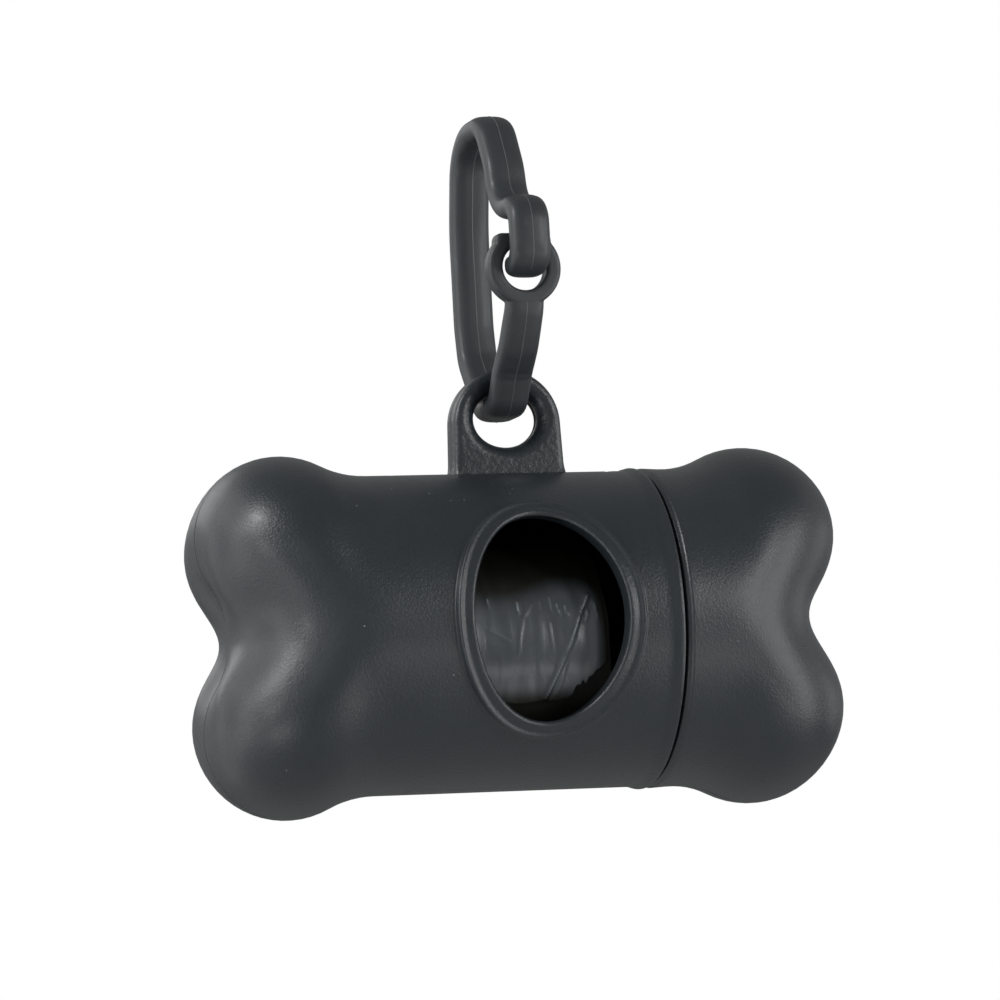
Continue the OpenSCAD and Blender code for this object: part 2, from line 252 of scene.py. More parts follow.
# ---------------------------------------------------------------- shape of the bone
@dataclass(frozen=True)
class BoneForm:
    """Outline rules of the case and cap, in millimetres from the middle of the barrel's axis."""

    barrel_r: float = 19.7
    wall: float = 1.6
    tip_x: float = 40.2
    lobe_r: float = 10.3
    lobe_z: float = 12.0
    notch_x: float = 36.6
    waist_x: float = 18.9
    plan_start: float = 20.6
    plan_power: float = 2.4
    lobe_power: float = 5.2
    seam: float = 0.3

    @property
    def bore_r(self) -> float:
        """Inner radius of the barrel."""
        return self.barrel_r - self.wall

    SEAM = ((0.0, 1.0), (0.03, 0.9), (0.075, 0.42), (0.125, 0.06), (0.19, 0.0))

    def turns(self, r: Array | float, steps: int = 50) -> tuple[Array, Array]:
        """Angles across a half shell, and how far the skin sinks at each towards the parting line.

        Args:
            r: radius at the parting line of each row, or of all rows.
            steps: segments between the two parting grooves.

        Returns:
            Angles in radians from below to above, as rows by columns, and the sink in millimetres.
        """
        r = np.atleast_1d(np.asarray(r, float))[:, None]
        away, sink = np.array(self.SEAM).T
        edge = math.pi / 2 - np.arcsin(np.minimum(away[None, :] / np.maximum(r, 0.01), 0.35 * away / away[-1]))
        mid = edge[:, -1:] * np.linspace(-1, 1, steps + 1)
        fade = np.clip(r / 3.0, 0.0, 1.0)
        sunk = np.concatenate([sink[:-1], np.zeros(steps + 1), sink[-2::-1]])[None, :] * self.seam * fade
        return np.concatenate([-edge[:, :-1], mid, edge[:, -2::-1]], 1), sunk

    def side(self, t: Array, inset: Array) -> tuple[Array, Array]:
        """Side outline, from the waist at t = 0, over the lobe, to the notch at t = 1."""
        lobe_x = self.tip_x - self.lobe_r
        reach = self.notch_x - lobe_x
        notch_r = (reach**2 + self.lobe_z**2 - self.lobe_r**2) / (2 * (self.lobe_r - reach))
        notch_cx = self.notch_x + notch_r
        run, rise = lobe_x - self.waist_x, self.barrel_r - self.lobe_z
        waist_r = (run**2 + rise**2 - self.lobe_r**2) / (2 * (self.lobe_r - rise))
        waist_cz = self.barrel_r + waist_r
        a1 = math.atan2(self.lobe_z - waist_cz, run)
        b0 = math.atan2(waist_cz - self.lobe_z, -run)
        b1 = math.atan2(-self.lobe_z, notch_cx - lobe_x)
        c0 = math.atan2(self.lobe_z, lobe_x - notch_cx)
        l1, l2, l3 = waist_r * (a1 + math.pi / 2), self.lobe_r * (b0 - b1), notch_r * (math.pi - c0)
        s = t * (l1 + l2 + l3)
        a = mix(-math.pi / 2, a1, s / l1)
        b = mix(b0, b1, (s - l1) / l2)
        c = mix(c0, math.pi, (s - l1 - l2) / l3)
        x = np.where(s < l1, self.waist_x + (waist_r + inset) * np.cos(a),
                     np.where(s < l1 + l2, lobe_x + (self.lobe_r - inset) * np.cos(b),
                              notch_cx + (notch_r + inset) * np.cos(c)))
        r = np.where(s < l1, waist_cz + (waist_r + inset) * np.sin(a),
                     np.where(s < l1 + l2, self.lobe_z + (self.lobe_r - inset) * np.sin(b),
                              (notch_r + inset) * np.sin(c)))
        return x, r

    def plan(self, t: Array, inset: Array) -> tuple[Array, Array]:
        """Plan outline, a quarter of a squared-off oval."""
        a = t * math.pi / 2
        reach = self.notch_x - inset - self.plan_start
        return (self.plan_start + reach * np.sin(a) ** (2 / self.plan_power),
                (self.barrel_r - inset) * np.clip(np.cos(a), 0, 1) ** (2 / self.plan_power))

    def skin(self, t: Array, turn: Array, inset: Array | float) -> Array:
        """Points of a lobed end at +X, facing -Y, as rows by t and columns by turn."""
        t = np.asarray(t, float)[:, None]
        inset = np.broadcast_to(np.asarray(inset, float), turn.shape)
        k = 1.0 - np.abs(np.cos(turn)) ** self.lobe_power
        sx, sr = self.side(t, inset)
        px, pr = self.plan(t, inset)
        x, r = mix(px, sx, k), mix(pr, sr, k)
        return np.stack([x, -r * np.cos(turn), r * np.sin(turn) + AXIS_Z], -1)

    def end_turns(self) -> tuple[Array, Array]:
        """Angles and sinks of the rows of a lobed end."""
        return self.turns(self.side(END_STEPS, np.zeros(len(END_STEPS)))[1])

    def barrel(self, x: Array, turn: Array, r: Array | float) -> Array:
        """Points at radius r about the barrel's axis."""
        x, turn, r = np.broadcast_arrays(np.asarray(x, float), turn, r)
        return np.stack([x, -r * np.cos(turn), r * np.sin(turn) + AXIS_Z], -1)

    def walled(self, x: Array, turn: Array, rise: Array | float) -> tuple[Array, Array]:
        """Outer and inner points of the barrel's wall, the outer ones raised or sunk."""
        return self.barrel(x, turn, self.barrel_r + rise), self.barrel(x, turn, self.bore_r)


END_STEPS = np.concatenate([np.linspace(0, 0.9, 34), [0.93, 0.96, 0.985, 1.0]])


@dataclass
class Case:
    """The case: front shell with its window, back shell and hanging tab."""

    form: BoneForm = field(default_factory=BoneForm)
    mouth_x: float = 15.7
    flare: float = 0.35
    window_x: float = -1.15
    window_w: float = 19.4
    window_h: float = 24.9
    window_up: float = 0.2
    patch: tuple[float, float] = (-16.0, 12.9)
    tab_half: float = 6.9
    tab_t: float = 2.15
    tab_top: float = 32.7
    base_z: float = 19.3
    foot_flare: float = 0.18
    hole_half: tuple[float, float] = (4.1, 3.5)
    hole_z: float = 26.5

    spread: float = 0.008  # share of the way to the patch's border that the lining moves with each row of the rim

    # Crests and valleys of the window's rim: distance from the hole's edge and height over the barrel
    RIM = ((0.0, 0.2), (0.4, 0.7), (1.3, 0.57), (1.95, 0.8), (2.45, 0.0))

    def rim_profile(self) -> list[tuple[float, float]]:
        """Rounded profile through the rim's crests and valleys."""
        (d0, h0), (d1, h1), (d2, h2), (d3, h3), (d4, _) = self.RIM
        rows = [(mix(d0, d1, 1 - math.cos(k)), mix(h0, h1, math.sin(k)))
                for k in np.linspace(0, math.pi / 2, 7)[:-1]]
        for a, b, n in (((d1, h1), (d2, h2), 7), ((d2, h2), (d3, h3), 8)):
            rows += [(mix(a[0], b[0], k), mix(a[1], b[1], float(smooth(k)))) for k in np.linspace(0, 1, n)[:-1]]
        rows += [(mix(d3, d4, k**0.8), h3 * (1.0 - float(smooth(k)) ** 0.9)) for k in np.linspace(0, 1, 9)]
        return rows

    def end_patch(self, skin: WalledSkin) -> None:
        """Adds the lobed end and the plain barrel up to the window's patch."""
        form = self.form
        turn, sink = form.end_turns()
        outer, inner = form.skin(END_STEPS, turn, sink), form.skin(END_STEPS, turn, form.wall)
        for layer in (outer, inner):
            layer[..., 0] *= -1
        skin.add(outer, inner)
        turn, sink = form.turns(form.barrel_r)
        k = np.linspace(0, 1, 6)[:, None]
        x = mix(outer[0, :, 0][None, :], self.patch[0], k)
        skin.add(*form.walled(x, turn, -sink))

    def mouth_patch(self, skin: WalledSkin) -> None:
        """Adds the barrel from the window's patch to the flared, rounded mouth."""
        form, m = self.form, self.mouth_x
        turn, sink = form.turns(form.barrel_r)
        x = np.array([self.patch[1], 13.5, m - 1.6, m - 1.2, m - 0.8, m - 0.4, m - 0.15, m - 0.05, m])[:, None]
        rise = self.flare * smooth(x, m - 1.7, m - 0.3)
        rise = rise - np.array([0, 0, 0, 0, 0, 0, 0.03, 0.09, 0.22])[:, None]
        skin.add(*form.walled(x, turn, rise - sink))

    def edge_strips(self, skin: WalledSkin, across: int) -> None:
        """Adds the plain strips between the window's patch and the parting lines."""
        form = self.form
        turn, sink = form.turns(form.barrel_r)
        x = np.linspace(*self.patch, across + 1)[:, None]
        for cols in (slice(0, 5), slice(-5, None)):
            skin.add(*form.walled(x, turn[:, cols], -sink[:, cols]))

    def window_patch(self, skin: WalledSkin, across: int) -> None:
        """Adds the patch with the oval window and its rounded, twice-ridged rim."""
        form = self.form
        turn, _ = form.turns(form.barrel_r)
        side = turn[0, 4:-4]
        x = np.linspace(*self.patch, across + 1)
        bx = np.concatenate([np.full(len(side), x[-1]), x[-2::-1], np.full(len(side) - 1, x[0]), x[1:-1]])
        bt = np.concatenate([side, np.full(len(x) - 1, side[-1]), side[-2::-1], np.full(len(x) - 2, side[0])])
        half_x, half_z = self.window_w / 2, self.window_h / 2
        half_s = form.barrel_r * math.asin(half_z / form.barrel_r)
        a = np.arctan2((bt * form.barrel_r - self.window_up) / half_s, (bx - self.window_x) / half_x)
        ex, ez = half_x * np.cos(a), half_z * np.sin(a) + self.window_up
        es = form.barrel_r * np.arcsin(ez / form.barrel_r)
        nx, ns = np.cos(a) / half_x, np.sin(a) / half_s
        length = np.hypot(nx, ns)
        nx, ns = nx / length, ns / length
        inner_t = np.arcsin(ez / form.bore_r)
        outer, inner = [], []
        rim = self.rim_profile()
        for i, (d, h) in enumerate(rim):
            outer.append(form.barrel(self.window_x + ex + nx * d, (es + ns * d) / form.barrel_r,
                                     form.barrel_r + h))
            k = self.spread * i
            inner.append(form.barrel(mix(self.window_x + ex, bx, k), mix(inner_t, bt, k), form.bore_r))
        d0, k0 = rim[-1][0], self.spread * (len(rim) - 1)
        for k in (0.05, 0.11, 0.19, 0.29, 0.41, 0.55, 0.7, 0.85, 1.0):
            outer.append(form.barrel(mix(self.window_x + ex + nx * d0, bx, k),
                                     mix((es + ns * d0) / form.barrel_r, bt, k), form.barrel_r))
            q = mix(k0, 1.0, k)
            inner.append(form.barrel(mix(self.window_x + ex, bx, q), mix(inner_t, bt, q), form.bore_r))
        skin.add(np.array(outer), np.array(inner), loop=True)

    def front_shell(self) -> bpy.types.Object:
        """Front shell with the window."""
        skin = WalledSkin()
        self.end_patch(skin)
        self.mouth_patch(skin)
        self.edge_strips(skin, 36)
        self.window_patch(skin, 36)
        return make_mesh("case_front", *skin.close())

    def back_shell(self) -> bpy.types.Object:
        """Back shell, the same without the window."""
        form = self.form
        skin = WalledSkin()
        self.end_patch(skin)
        self.mouth_patch(skin)
        turn, sink = form.turns(form.barrel_r)
        x = np.linspace(*self.patch, 13)[:, None]
        skin.add(*form.walled(x, turn, -sink))
        points, faces = skin.close()
        points[:, 1] *= -1
        return make_mesh("case_back", points, faces)

    def tab(self) -> bpy.types.Object:
        """Hanging tab: an arched plate round an oval hole, with softened edges."""
        crown = self.tab_top - self.tab_half
        base, wide = self.base_z - 0.4, self.tab_half + 0.25
        arc = np.linspace(0.04, math.pi - 0.04, 49)
        rim = [(self.tab_half * math.cos(a), crown + self.tab_half * math.sin(a)) for a in arc]
        down = np.linspace(0, 1, 12)[1:]
        side = [(mix(rim[-1][0], -wide, k), mix(rim[-1][1], base, k)) for k in down]
        foot = [(x, base) for x in np.linspace(-wide, wide, 16)[1:]]
        back = [(-x, z) for x, z in side[-2::-1]]
        ring = np.array(rim + side + foot + back)
        out = outward(ring)
        a = np.arctan2((ring[:, 1] - self.hole_z) / self.hole_half[1], ring[:, 0] / self.hole_half[0])
        hole = np.stack([self.hole_half[0] * np.cos(a), self.hole_z + self.hole_half[1] * np.sin(a)], 1)
        hn = unit(np.stack([np.cos(a) / self.hole_half[0], np.sin(a) / self.hole_half[1]], 1))
        half = self.tab_t
        edge = [(-0.12, 0.0), (-0.04, 0.05), (0.0, 0.13), (0.0, half - 0.85), (-0.03, half - 0.6),
                (-0.11, half - 0.37), (-0.24, half - 0.2), (-0.42, half - 0.08), (-0.65, half - 0.02),
                (-0.9, half)]
        bore = [(1.75, half), (1.45, half - 0.03), (1.15, half - 0.13), (0.85, half - 0.3), (0.58, half - 0.54),
                (0.34, half - 0.83), (0.15, half - 1.15), (0.03, half - 1.5), (0.0, 0.3)]
        rows = [(ring + out * d, y) for d, y in edge]
        for k in (0.3, 0.6, 0.85):
            rows.append((mix(ring + out * edge[-1][0], hole + hn * bore[0][0], k), half))
        rows += [(hole + hn * d, y) for d, y in bore]
        whole = [(p, -y) for p, y in rows] + [(p, y) for p, y in rows if y > 0]
        points = np.array([[[x, y, z] for x, z in p] for p, y in whole])
        flare = self.foot_flare * (1 - smooth(points[..., 2], self.base_z, self.base_z + 1.7)) ** 1.6
        points[..., 0] += flare * np.clip(points[..., 0] / self.tab_half, -1, 1)
        points[..., 1] += flare * np.clip(points[..., 1] / self.tab_t, -1, 1)
        points[..., 2] += AXIS_Z
        return make_mesh("hanging_tab", points.reshape(-1, 3), ring_faces(len(whole), len(ring)))


@dataclass
class Cap:
    """The pull-off cap: two half shells on the CAD's own sleeve."""

    form: BoneForm = field(default_factory=BoneForm)
    mouth_x: float = 16.1
    lip: float = 0.42
    lip_end: float = 23.5
    lip_run: float = 6.0  # how far before the mouth the taper's smooth step starts
    lip_share: float = 0.84  # what is left of that step at the mouth

    # Height of the skin over the plain barrel and its taper, at distances from the mouth
    STEP = ((0.0, -0.6), (0.05, -0.42), (0.15, -0.33), (0.32, -0.27), (0.46, -0.22), (0.56, -0.14), (0.64, -0.04),
            (0.74, 0.0), (0.9, 0.0), (1.3, 0.0), (2.0, 0.0), (2.8, 0.0))

    def widened(self, points: Array) -> Array:
        """Adds the mouth's slow taper to points of the outer skin."""
        across, up = points[..., 1], points[..., 2] - AXIS_Z
        r = np.maximum(np.hypot(across, up), 1.0)
        taper = 1.0 - smooth(points[..., 0], self.mouth_x - self.lip_run, self.lip_end)
        extra = self.lip * taper / self.lip_share
        grow = 1.0 + extra * np.clip(r / 15.0, 0, 1) / r
        return np.stack([points[..., 0], across * grow, up * grow + AXIS_Z], -1)

    def half(self, name: str, facing: int) -> bpy.types.Object:
        """One half shell.

        Args:
            name: object name.
            facing: -1 for the front, 1 for the back.

        Returns:
            The shell as a mesh object.
        """
        form = self.form
        turn, sink = form.turns(form.barrel_r)
        x = self.mouth_x + np.array([d for d, _ in self.STEP])[:, None]
        rise = np.array([h for _, h in self.STEP])[:, None]
        end_turn, end_sink = form.end_turns()
        end = form.skin(END_STEPS, end_turn, end_sink), form.skin(END_STEPS, end_turn, form.wall)
        between = mix(x[-1, 0], end[0][0, :, 0][None, :], np.linspace(0, 1, 6)[:, None])
        skin = WalledSkin()
        for outer, inner in (form.walled(x, turn, rise - sink), end, form.walled(between, turn, -sink)):
            skin.add(self.widened(outer), inner)
        points, faces = skin.close()
        if facing > 0:
            points[:, 1] *= -1
        return make_mesh(name, points, faces)


@dataclass
class Clip:
    """The carabiner: one moulding whose gate flexes at a thinned bend."""

    width: float = 5.0
    thick: float = 2.95
    squareness: float = 2.9
    turn: float = 1.3
    aside: float = -0.34
    eye: tuple[float, float] = (11.9, 43.7)
    eye_r: float = 4.7
    hole_r: float = 2.8
    eye_t: float = 2.4
    lug_half: float = 3.6
    lug_top: float = 48.0
    hinge: tuple[float, float] = (5.45, 31.55)
    hinge_heading: float = 49.0
    saddle_z: float = 27.9

    def frame_corners(self) -> list[tuple[float, float, float]]:
        """Corners of the frame's middle line as forward, up and radius, from the nose to the hinge."""
        ex, ez = self.eye
        return [(ex - 0.6, ez + 0.2, 0), (15.3, ez + 0.2, 2.2), (15.3, 51.2, 2.5), (8.0, 51.3, 5.0),
                (6.7, 57.2, 8), (3.3, 63.15, 4), (-6.6, 63.15, 6.5), (-8.97, 51.7, 25), (-8.97, 39.5, 10),
                (-8.2, 35, 5), (-2.6, self.saddle_z, 2.6), (2.9, self.saddle_z, 2.6), (*self.hinge, 0)]

    def gate_corners(self) -> list[tuple[float, float, float]]:
        """Corners of the gate's middle line, from the hinge to the eye."""
        return [(*self.hinge, 0), (8.6, 34.5, 8), (self.eye[0], 39.1, 3.6), (self.eye[0], 40.5, 0)]

    @staticmethod
    def rounded(corners: Sequence[tuple[float, float, float]], first: float, final: float, step: float) -> Array:
        """Rounds the corners of a line.

        Args:
            corners: forward, up and radius of each corner.
            first: heading at the start, degrees.
            final: heading at the end, degrees.
            step: longest piece of the result, millimetres.

        Returns:
            Rows of forward, up and heading in radians.
        """
        c = np.array(corners, float)
        head = np.arctan2(np.diff(c[:, 1]), np.diff(c[:, 0]))
        line = [(c[0, 0], c[0, 1], math.radians(first))]
        for i in range(1, len(c) - 1):
            bend = (head[i] - head[i - 1] + math.pi) % (2 * math.pi) - math.pi
            r, h, s = c[i, 2], head[i - 1], math.copysign(1, bend)
            back = r * math.tan(abs(bend) / 2)
            start = (c[i, 0] - back * math.cos(h), c[i, 1] - back * math.sin(h))
            mid = (start[0] - s * r * math.sin(h), start[1] + s * r * math.cos(h))
            for k in np.linspace(0, 1, max(3, math.ceil(abs(bend) * max(r, 1.5) / step) + 1)):
                g = h + bend * k
                line.append((mid[0] + s * r * math.sin(g), mid[1] - s * r * math.cos(g), g))
        line.append((c[-1, 0], c[-1, 1], math.radians(final)))
        fine = [line[0]]
        for a, b in zip(line, line[1:]):
            n = max(1, math.ceil(math.hypot(b[0] - a[0], b[1] - a[1]) / (1.6 * step)))
            turn = (b[2] - a[2] + math.pi) % (2 * math.pi) - math.pi
            fine += [(mix(a[0], b[0], k / n), mix(a[1], b[1], k / n), a[2] + turn * k / n)
                     for k in range(1, n + 1)]
        keep = [fine[0]]
        for p in fine[1:]:
            if math.hypot(p[0] - keep[-1][0], p[1] - keep[-1][1]) > 0.12:
                keep.append(p)
        keep[-1] = fine[-1]
        return np.array(keep)

    def section(self) -> Array:
        """Softly squared section of the wire as across and up."""
        a = np.linspace(0, 2 * math.pi, 44, endpoint=False)
        power = 2 / self.squareness
        return np.stack([self.width / 2 * np.sign(np.cos(a)) * np.abs(np.cos(a)) ** power,
                         self.thick / 2 * np.sign(np.sin(a)) * np.abs(np.sin(a)) ** power], 1)

    def place(self, forward: Array, up: Array, across: Array) -> Array:
        """Row-frame points of places in the clip's own plane."""
        a = math.radians(self.turn)
        x, y = np.asarray(across, float) + self.aside, -np.asarray(forward, float)
        return np.stack([x * math.cos(a) - y * math.sin(a), x * math.sin(a) + y * math.cos(a),
                         np.asarray(up, float) + AXIS_Z], -1)

    def swept(self, line: Array, fit: Array, dome: tuple[bool, bool]) -> tuple[Array, list[list[int]]]:
        """Sweeps the section along a line.

        Args:
            line: rows of forward, up and heading.
            fit: width and thickness factors of each row.
            dome: whether the first and last ends are rounded over.

        Returns:
            Points and faces of the closed wire.
        """
        sec = self.section()
        if dome[0]:
            a = line[0]
            back = np.array([(0.0, 0.35), (0.06, 0.62), (0.2, 0.84), (0.45, 0.97)])
            lead = [(a[0] + d * math.cos(a[2]), a[1] + d * math.sin(a[2]), a[2]) for d, _ in back]
            keep = [p for p in line if math.hypot(p[0] - a[0], p[1] - a[1]) > 0.7]
            fit = np.vstack([[[k * fit[0, 0], k * fit[0, 1]] for _, k in back], fit[-len(keep):]])
            line = np.vstack([lead, keep])
        sin, cos = np.sin(line[:, 2])[:, None], np.cos(line[:, 2])[:, None]
        across, up = sec[None, :, 0] * fit[:, :1], sec[None, :, 1] * fit[:, 1:]
        pts = self.place(line[:, :1] - up * sin, line[:, 1:2] + up * cos, across)
        n, rows = len(sec), len(line)
        faces = tube_faces(rows, n) + [list(range(n)), [(rows - 1) * n + j for j in range(n)]]
        return pts.reshape(-1, 3), faces

    def frame_line(self) -> Array:
        """Middle line of the frame."""
        return self.rounded(self.frame_corners(), 0.0, self.hinge_heading, 0.45)

    def gate_line(self) -> Array:
        """Middle line of the gate."""
        return self.rounded(self.gate_corners(), self.hinge_heading, 90.0, 0.3)

    def split(self) -> tuple[Array, Array]:
        """The frame's line, cut in two in the middle of the tab's hole."""
        line = self.frame_line()
        low = np.where(np.abs(line[:, 1] - self.saddle_z) < 0.02)[0]
        cut = low[np.argmin(np.abs(line[low, 0]))]
        return line[:cut + 1], line[cut:]

    def arm(self) -> bpy.types.Object:
        """Nose, crook, back arm and half of the saddle."""
        line, _ = self.split()
        fit = np.ones((len(line), 2))
        d = np.hypot(*(line[:, :2] - line[0, :2]).T)
        fit *= mix(0.74, 1.0, smooth(d, 0.0, 1.3))[:, None]
        return make_mesh("clip_frame", *self.swept(line, fit, (True, False)))

    def lever_line(self) -> tuple[Array, Array]:
        """Middle line of the lever, and the width and thickness factors along it."""
        _, low = self.split()
        line = np.vstack([low, self.gate_line()[1:]])
        run = np.concatenate([[0], np.cumsum(np.hypot(*np.diff(line[:, :2], axis=0).T))])
        mid = run[len(low) - 1]
        k = np.clip((run - mid) / (run[-1] - mid), 0, 1)
        flat = mix(1.0, 0.8, smooth(k, 0.55, 1.0)) * (1.0 - 0.05 * hill(run, mid + 1.0, 0.45))
        return line, np.stack([mix(1.0, 0.97, k), flat], 1)

    def lever(self) -> bpy.types.Object:
        """Half of the saddle, the hinge's bend, the gate's arm and its eye, fused with soft fillets."""
        line, fit = self.lever_line()
        arm = make_mesh("gate_arm", *self.swept(line, fit, (False, False)), crease=50.0)
        return fuse("clip_gate", [arm, self.eye_ring()], voxel=0.11, rounds=9)

    def eye_ring(self) -> bpy.types.Object:
        """The eye at the gate's tip with its square lug, edges softened."""
        ex, ez = self.eye
        low = math.asin(self.lug_half / self.eye_r)
        join = math.pi / 2 - low
        arc = np.linspace(join, -math.pi - join, 64)
        under = [(self.eye_r * math.cos(a), self.eye_r * math.sin(a)) for a in arc]
        top, rr, half = self.lug_top - ez, 0.9, self.lug_half
        quarter = np.linspace(0, math.pi / 2, 7)
        left = [(-half + rr - rr * math.cos(a), top - rr + rr * math.sin(a)) for a in quarter]
        right = [(half - rr + rr * math.sin(a), top - rr + rr * math.cos(a)) for a in quarter]
        flat = [(x, top) for x in np.linspace(-half + rr, half - rr, 9)[1:-1]]
        ring = np.array(under + left + flat + right)
        out = outward(ring)
        a = np.arctan2(ring[:, 1], ring[:, 0])
        hn = np.stack([np.cos(a), np.sin(a)], 1)
        hole = self.hole_r * hn
        h = self.eye_t / 2
        edge = [(0.0, 0.0), (0.0, h - 0.5), (-0.07, h - 0.25), (-0.22, h - 0.08), (-0.45, h)]
        bore = [(0.4, h), (0.2, h - 0.07), (0.06, h - 0.22), (0.0, h - 0.45), (0.0, 0.0)]
        rows = [(ring + out * d, y) for d, y in edge] + [(hole + hn * d, y) for d, y in bore]
        rows += [(p, -y) for p, y in rows[-2:0:-1]]
        pts = np.array([self.place(ex + y, p[:, 1] + ez, p[:, 0]) for p, y in rows])
        return make_mesh("clip_eye", pts.reshape(-1, 3), ring_faces(len(rows), len(ring)), crease=50.0)

    def flash_path(self, line: Array, side: int, fit: Array | float = 1.0) -> Array:
        """Row-frame path of the parting line on the outer or inner face of a wire's line."""
        up = side * (self.thick / 2 * fit - 0.03)
        return self.place(line[:, 0] - up * np.sin(line[:, 2]), line[:, 1] + up * np.cos(line[:, 2]),
                          0 * line[:, 0])


@dataclass(frozen=True)
class Fold:
    """A crease in the loose bag: its path as places along (mm) and round (degrees) the roll."""

    path: tuple[tuple[float, float], ...]
    height: float
    width: float
    # strength of a highlight painted lighter along one side of the crease
    glint: float = 0.0


@dataclass
class Roll:
    """The roll of bags on its cardboard core, with the outermost bag loose over the front."""

    FOLDS = tuple(Fold(*row) for row in (
        (((5.6, 154.5), (4.2, 165.0), (2.05, 184.0), (-0.5, 205.5)), 0.36, 0.15, 1.4),
        (((3.4, 175.0), (2.3, 186.0), (0.9, 203.5)), 0.1, 0.16, 0.25),
        (((-1.6, 158.0), (-3.0, 165.0), (-3.7, 176.0), (-3.9, 183.0)), 0.07, 0.12, 0.12),
        (((-9.3, 166.5), (-5.2, 176.5)), 0.05, 0.14),
        (((-7.15, 154.5), (-7.2, 158.5)), 0.12, 0.09, 0.8),
        (((-3.4, 156.5), (-3.5, 162.5)), 0.16, 0.1, 1.6),
        (((-0.6, 157.0), (-0.7, 160.0)), 0.06, 0.1, 0.3),
        (((0.7, 154.0), (0.8, 162.5)), 0.07, 0.12, 0.5),
        (((1.5, 158.0), (1.7, 164.0)), 0.1, 0.1, 0.9),
        (((2.5, 159.5), (2.6, 164.0)), 0.1, 0.09, 1.0),
        (((5.3, 162.0), (4.9, 168.0)), 0.14, 0.12, 0.9),
        (((6.3, 158.0), (6.5, 167.0)), 0.1, 0.1, 0.5),
        (((0.2, 168.0), (0.5, 182.0)), 0.045, 0.13),
        (((-6.0, 186.0), (-6.3, 203.0)), 0.03, 0.2)))
    EDGE = ((-29.0, 203.0), (-20.0, 205.0), (-9.0, 205.0), (-7.0, 206.0), (-4.0, 207.5), (-0.5, 206.5),
            (2.0, 205.5), (2.9, 204.5), (3.25, 199.5), (4.6, 197.0), (5.6, 193.0), (7.2, 188.0))

    radius: float = 14.1
    hollow: float = 6.05
    x0: float = -29.2
    x1: float = 8.4
    drop: float = -3.2
    turns: int = 15
    loose_r: float = 14.2
    loose_x1: float = 7.2
    loose_from: float = 54.0
    loose_to: float = 204.0

    def crease(self, x: Array, a: Array, fold: Fold) -> tuple[Array, Array]:
        """Height of one crease of the sheet, and the highlight painted along it.

        Args:
            x: places along the roll, millimetres.
            a: places round the roll, degrees.
            fold: the crease.

        Returns:
            Its height at each place, millimetres, and the strength of the painted glint there.
        """
        per = math.radians(self.loose_r + 0.3)
        total, glint = np.zeros_like(x), np.zeros_like(x)
        for (x0, a0), (x1, a1) in zip(fold.path, fold.path[1:]):
            ex, es = x1 - x0, (a1 - a0) * per
            px, ps = x - x0, (a - a0) * per
            k = np.clip((px * ex + ps * es) / (ex * ex + es * es), 0, 1)
            side = (px * es - ps * ex) / math.hypot(ex, es)
            d = np.hypot(px - k * ex, ps - k * es)
            wide = np.where(side > 0, fold.width, fold.width * 2.2)
            total = np.maximum(total, fold.height * np.exp(-(d / wide) ** 1.5))
            shine = (fold.glint * np.exp(-((d - 0.08) / 0.1) ** 2) * (side < 0)
                     * (0.45 + 0.55 * hill(a, 161.0, 9.0)))
            glint = np.maximum(glint, shine * smooth(k, 0.0, 0.15) * smooth(k, 1.0, 0.8))
        return total, glint

    def leader(self) -> bpy.types.Object:
        """The outermost bag: a thin creased sheet with a ragged free edge."""
        cols, rows = 186, 196
        u = np.linspace(0, 1, cols)[None, :]
        v = np.linspace(0, 1, rows)[:, None]
        x = mix(self.x0 + 0.8, self.loose_x1, u) + 0 * v
        jag = Ripple(21, 1.1, 9)(x[0] * 1.7, 0 * x[0])
        end = np.interp(x[0], *np.array(self.EDGE).T) + (0.15 + 0.5 * hill(x[0], 3.8, 1.6)) * jag
        a = mix(self.loose_from, end[None, :], v)
        s = np.radians(a) * self.loose_r
        long_wave, short_wave = Ripple(3, 3.0), Ripple(8, 1.2)
        h = 0.15 + 0.036 * long_wave(x, s * 0.22) + 0.012 * short_wave(x, s * 0.12)
        # pale gathers the painted glints along the creases
        pale = np.zeros_like(h)
        for fold in self.FOLDS:
            rise, shine = self.crease(x, a, fold)
            h, pale = h + rise, np.maximum(pale, shine)
        h = h - 0.16 * smooth(x, self.loose_x1 - 1.4, self.loose_x1) + 0.04 * smooth(a, 195, 206)
        lift = np.clip(h, 0.02, 0.46)
        layers = []
        for film in (0.06, 0.0):
            r = self.loose_r + lift + film
            layers.append(np.stack([x, r * np.cos(np.radians(a)),
                                    r * np.sin(np.radians(a)) + self.drop + AXIS_Z], -1))
        n = cols * rows
        quads = tube_faces(rows, cols, closed=False)
        faces = quads + [[k + n for k in reversed(q)] for q in quads]
        rim = ([j for j in range(cols)] + [i * cols + cols - 1 for i in range(1, rows)]
               + [(rows - 1) * cols + j for j in range(cols - 2, -1, -1)]
               + [i * cols for i in range(rows - 2, 0, -1)])
        faces += [[p, q, q + n, p + n] for p, q in zip(rim, rim[1:] + rim[:1])]
        sheet = make_mesh("bag_sheet", np.vstack([layer.reshape(-1, 3) for layer in layers]), faces, crease=60.0)
        # The point attribute 'stretched' carries the painted glints to the film's colour.
        stretched = sheet.data.attributes.new("stretched", "FLOAT", "POINT")
        stretched.data.foreach_set("value", np.tile(pale.reshape(-1), 2).astype(np.float32))
        return sheet


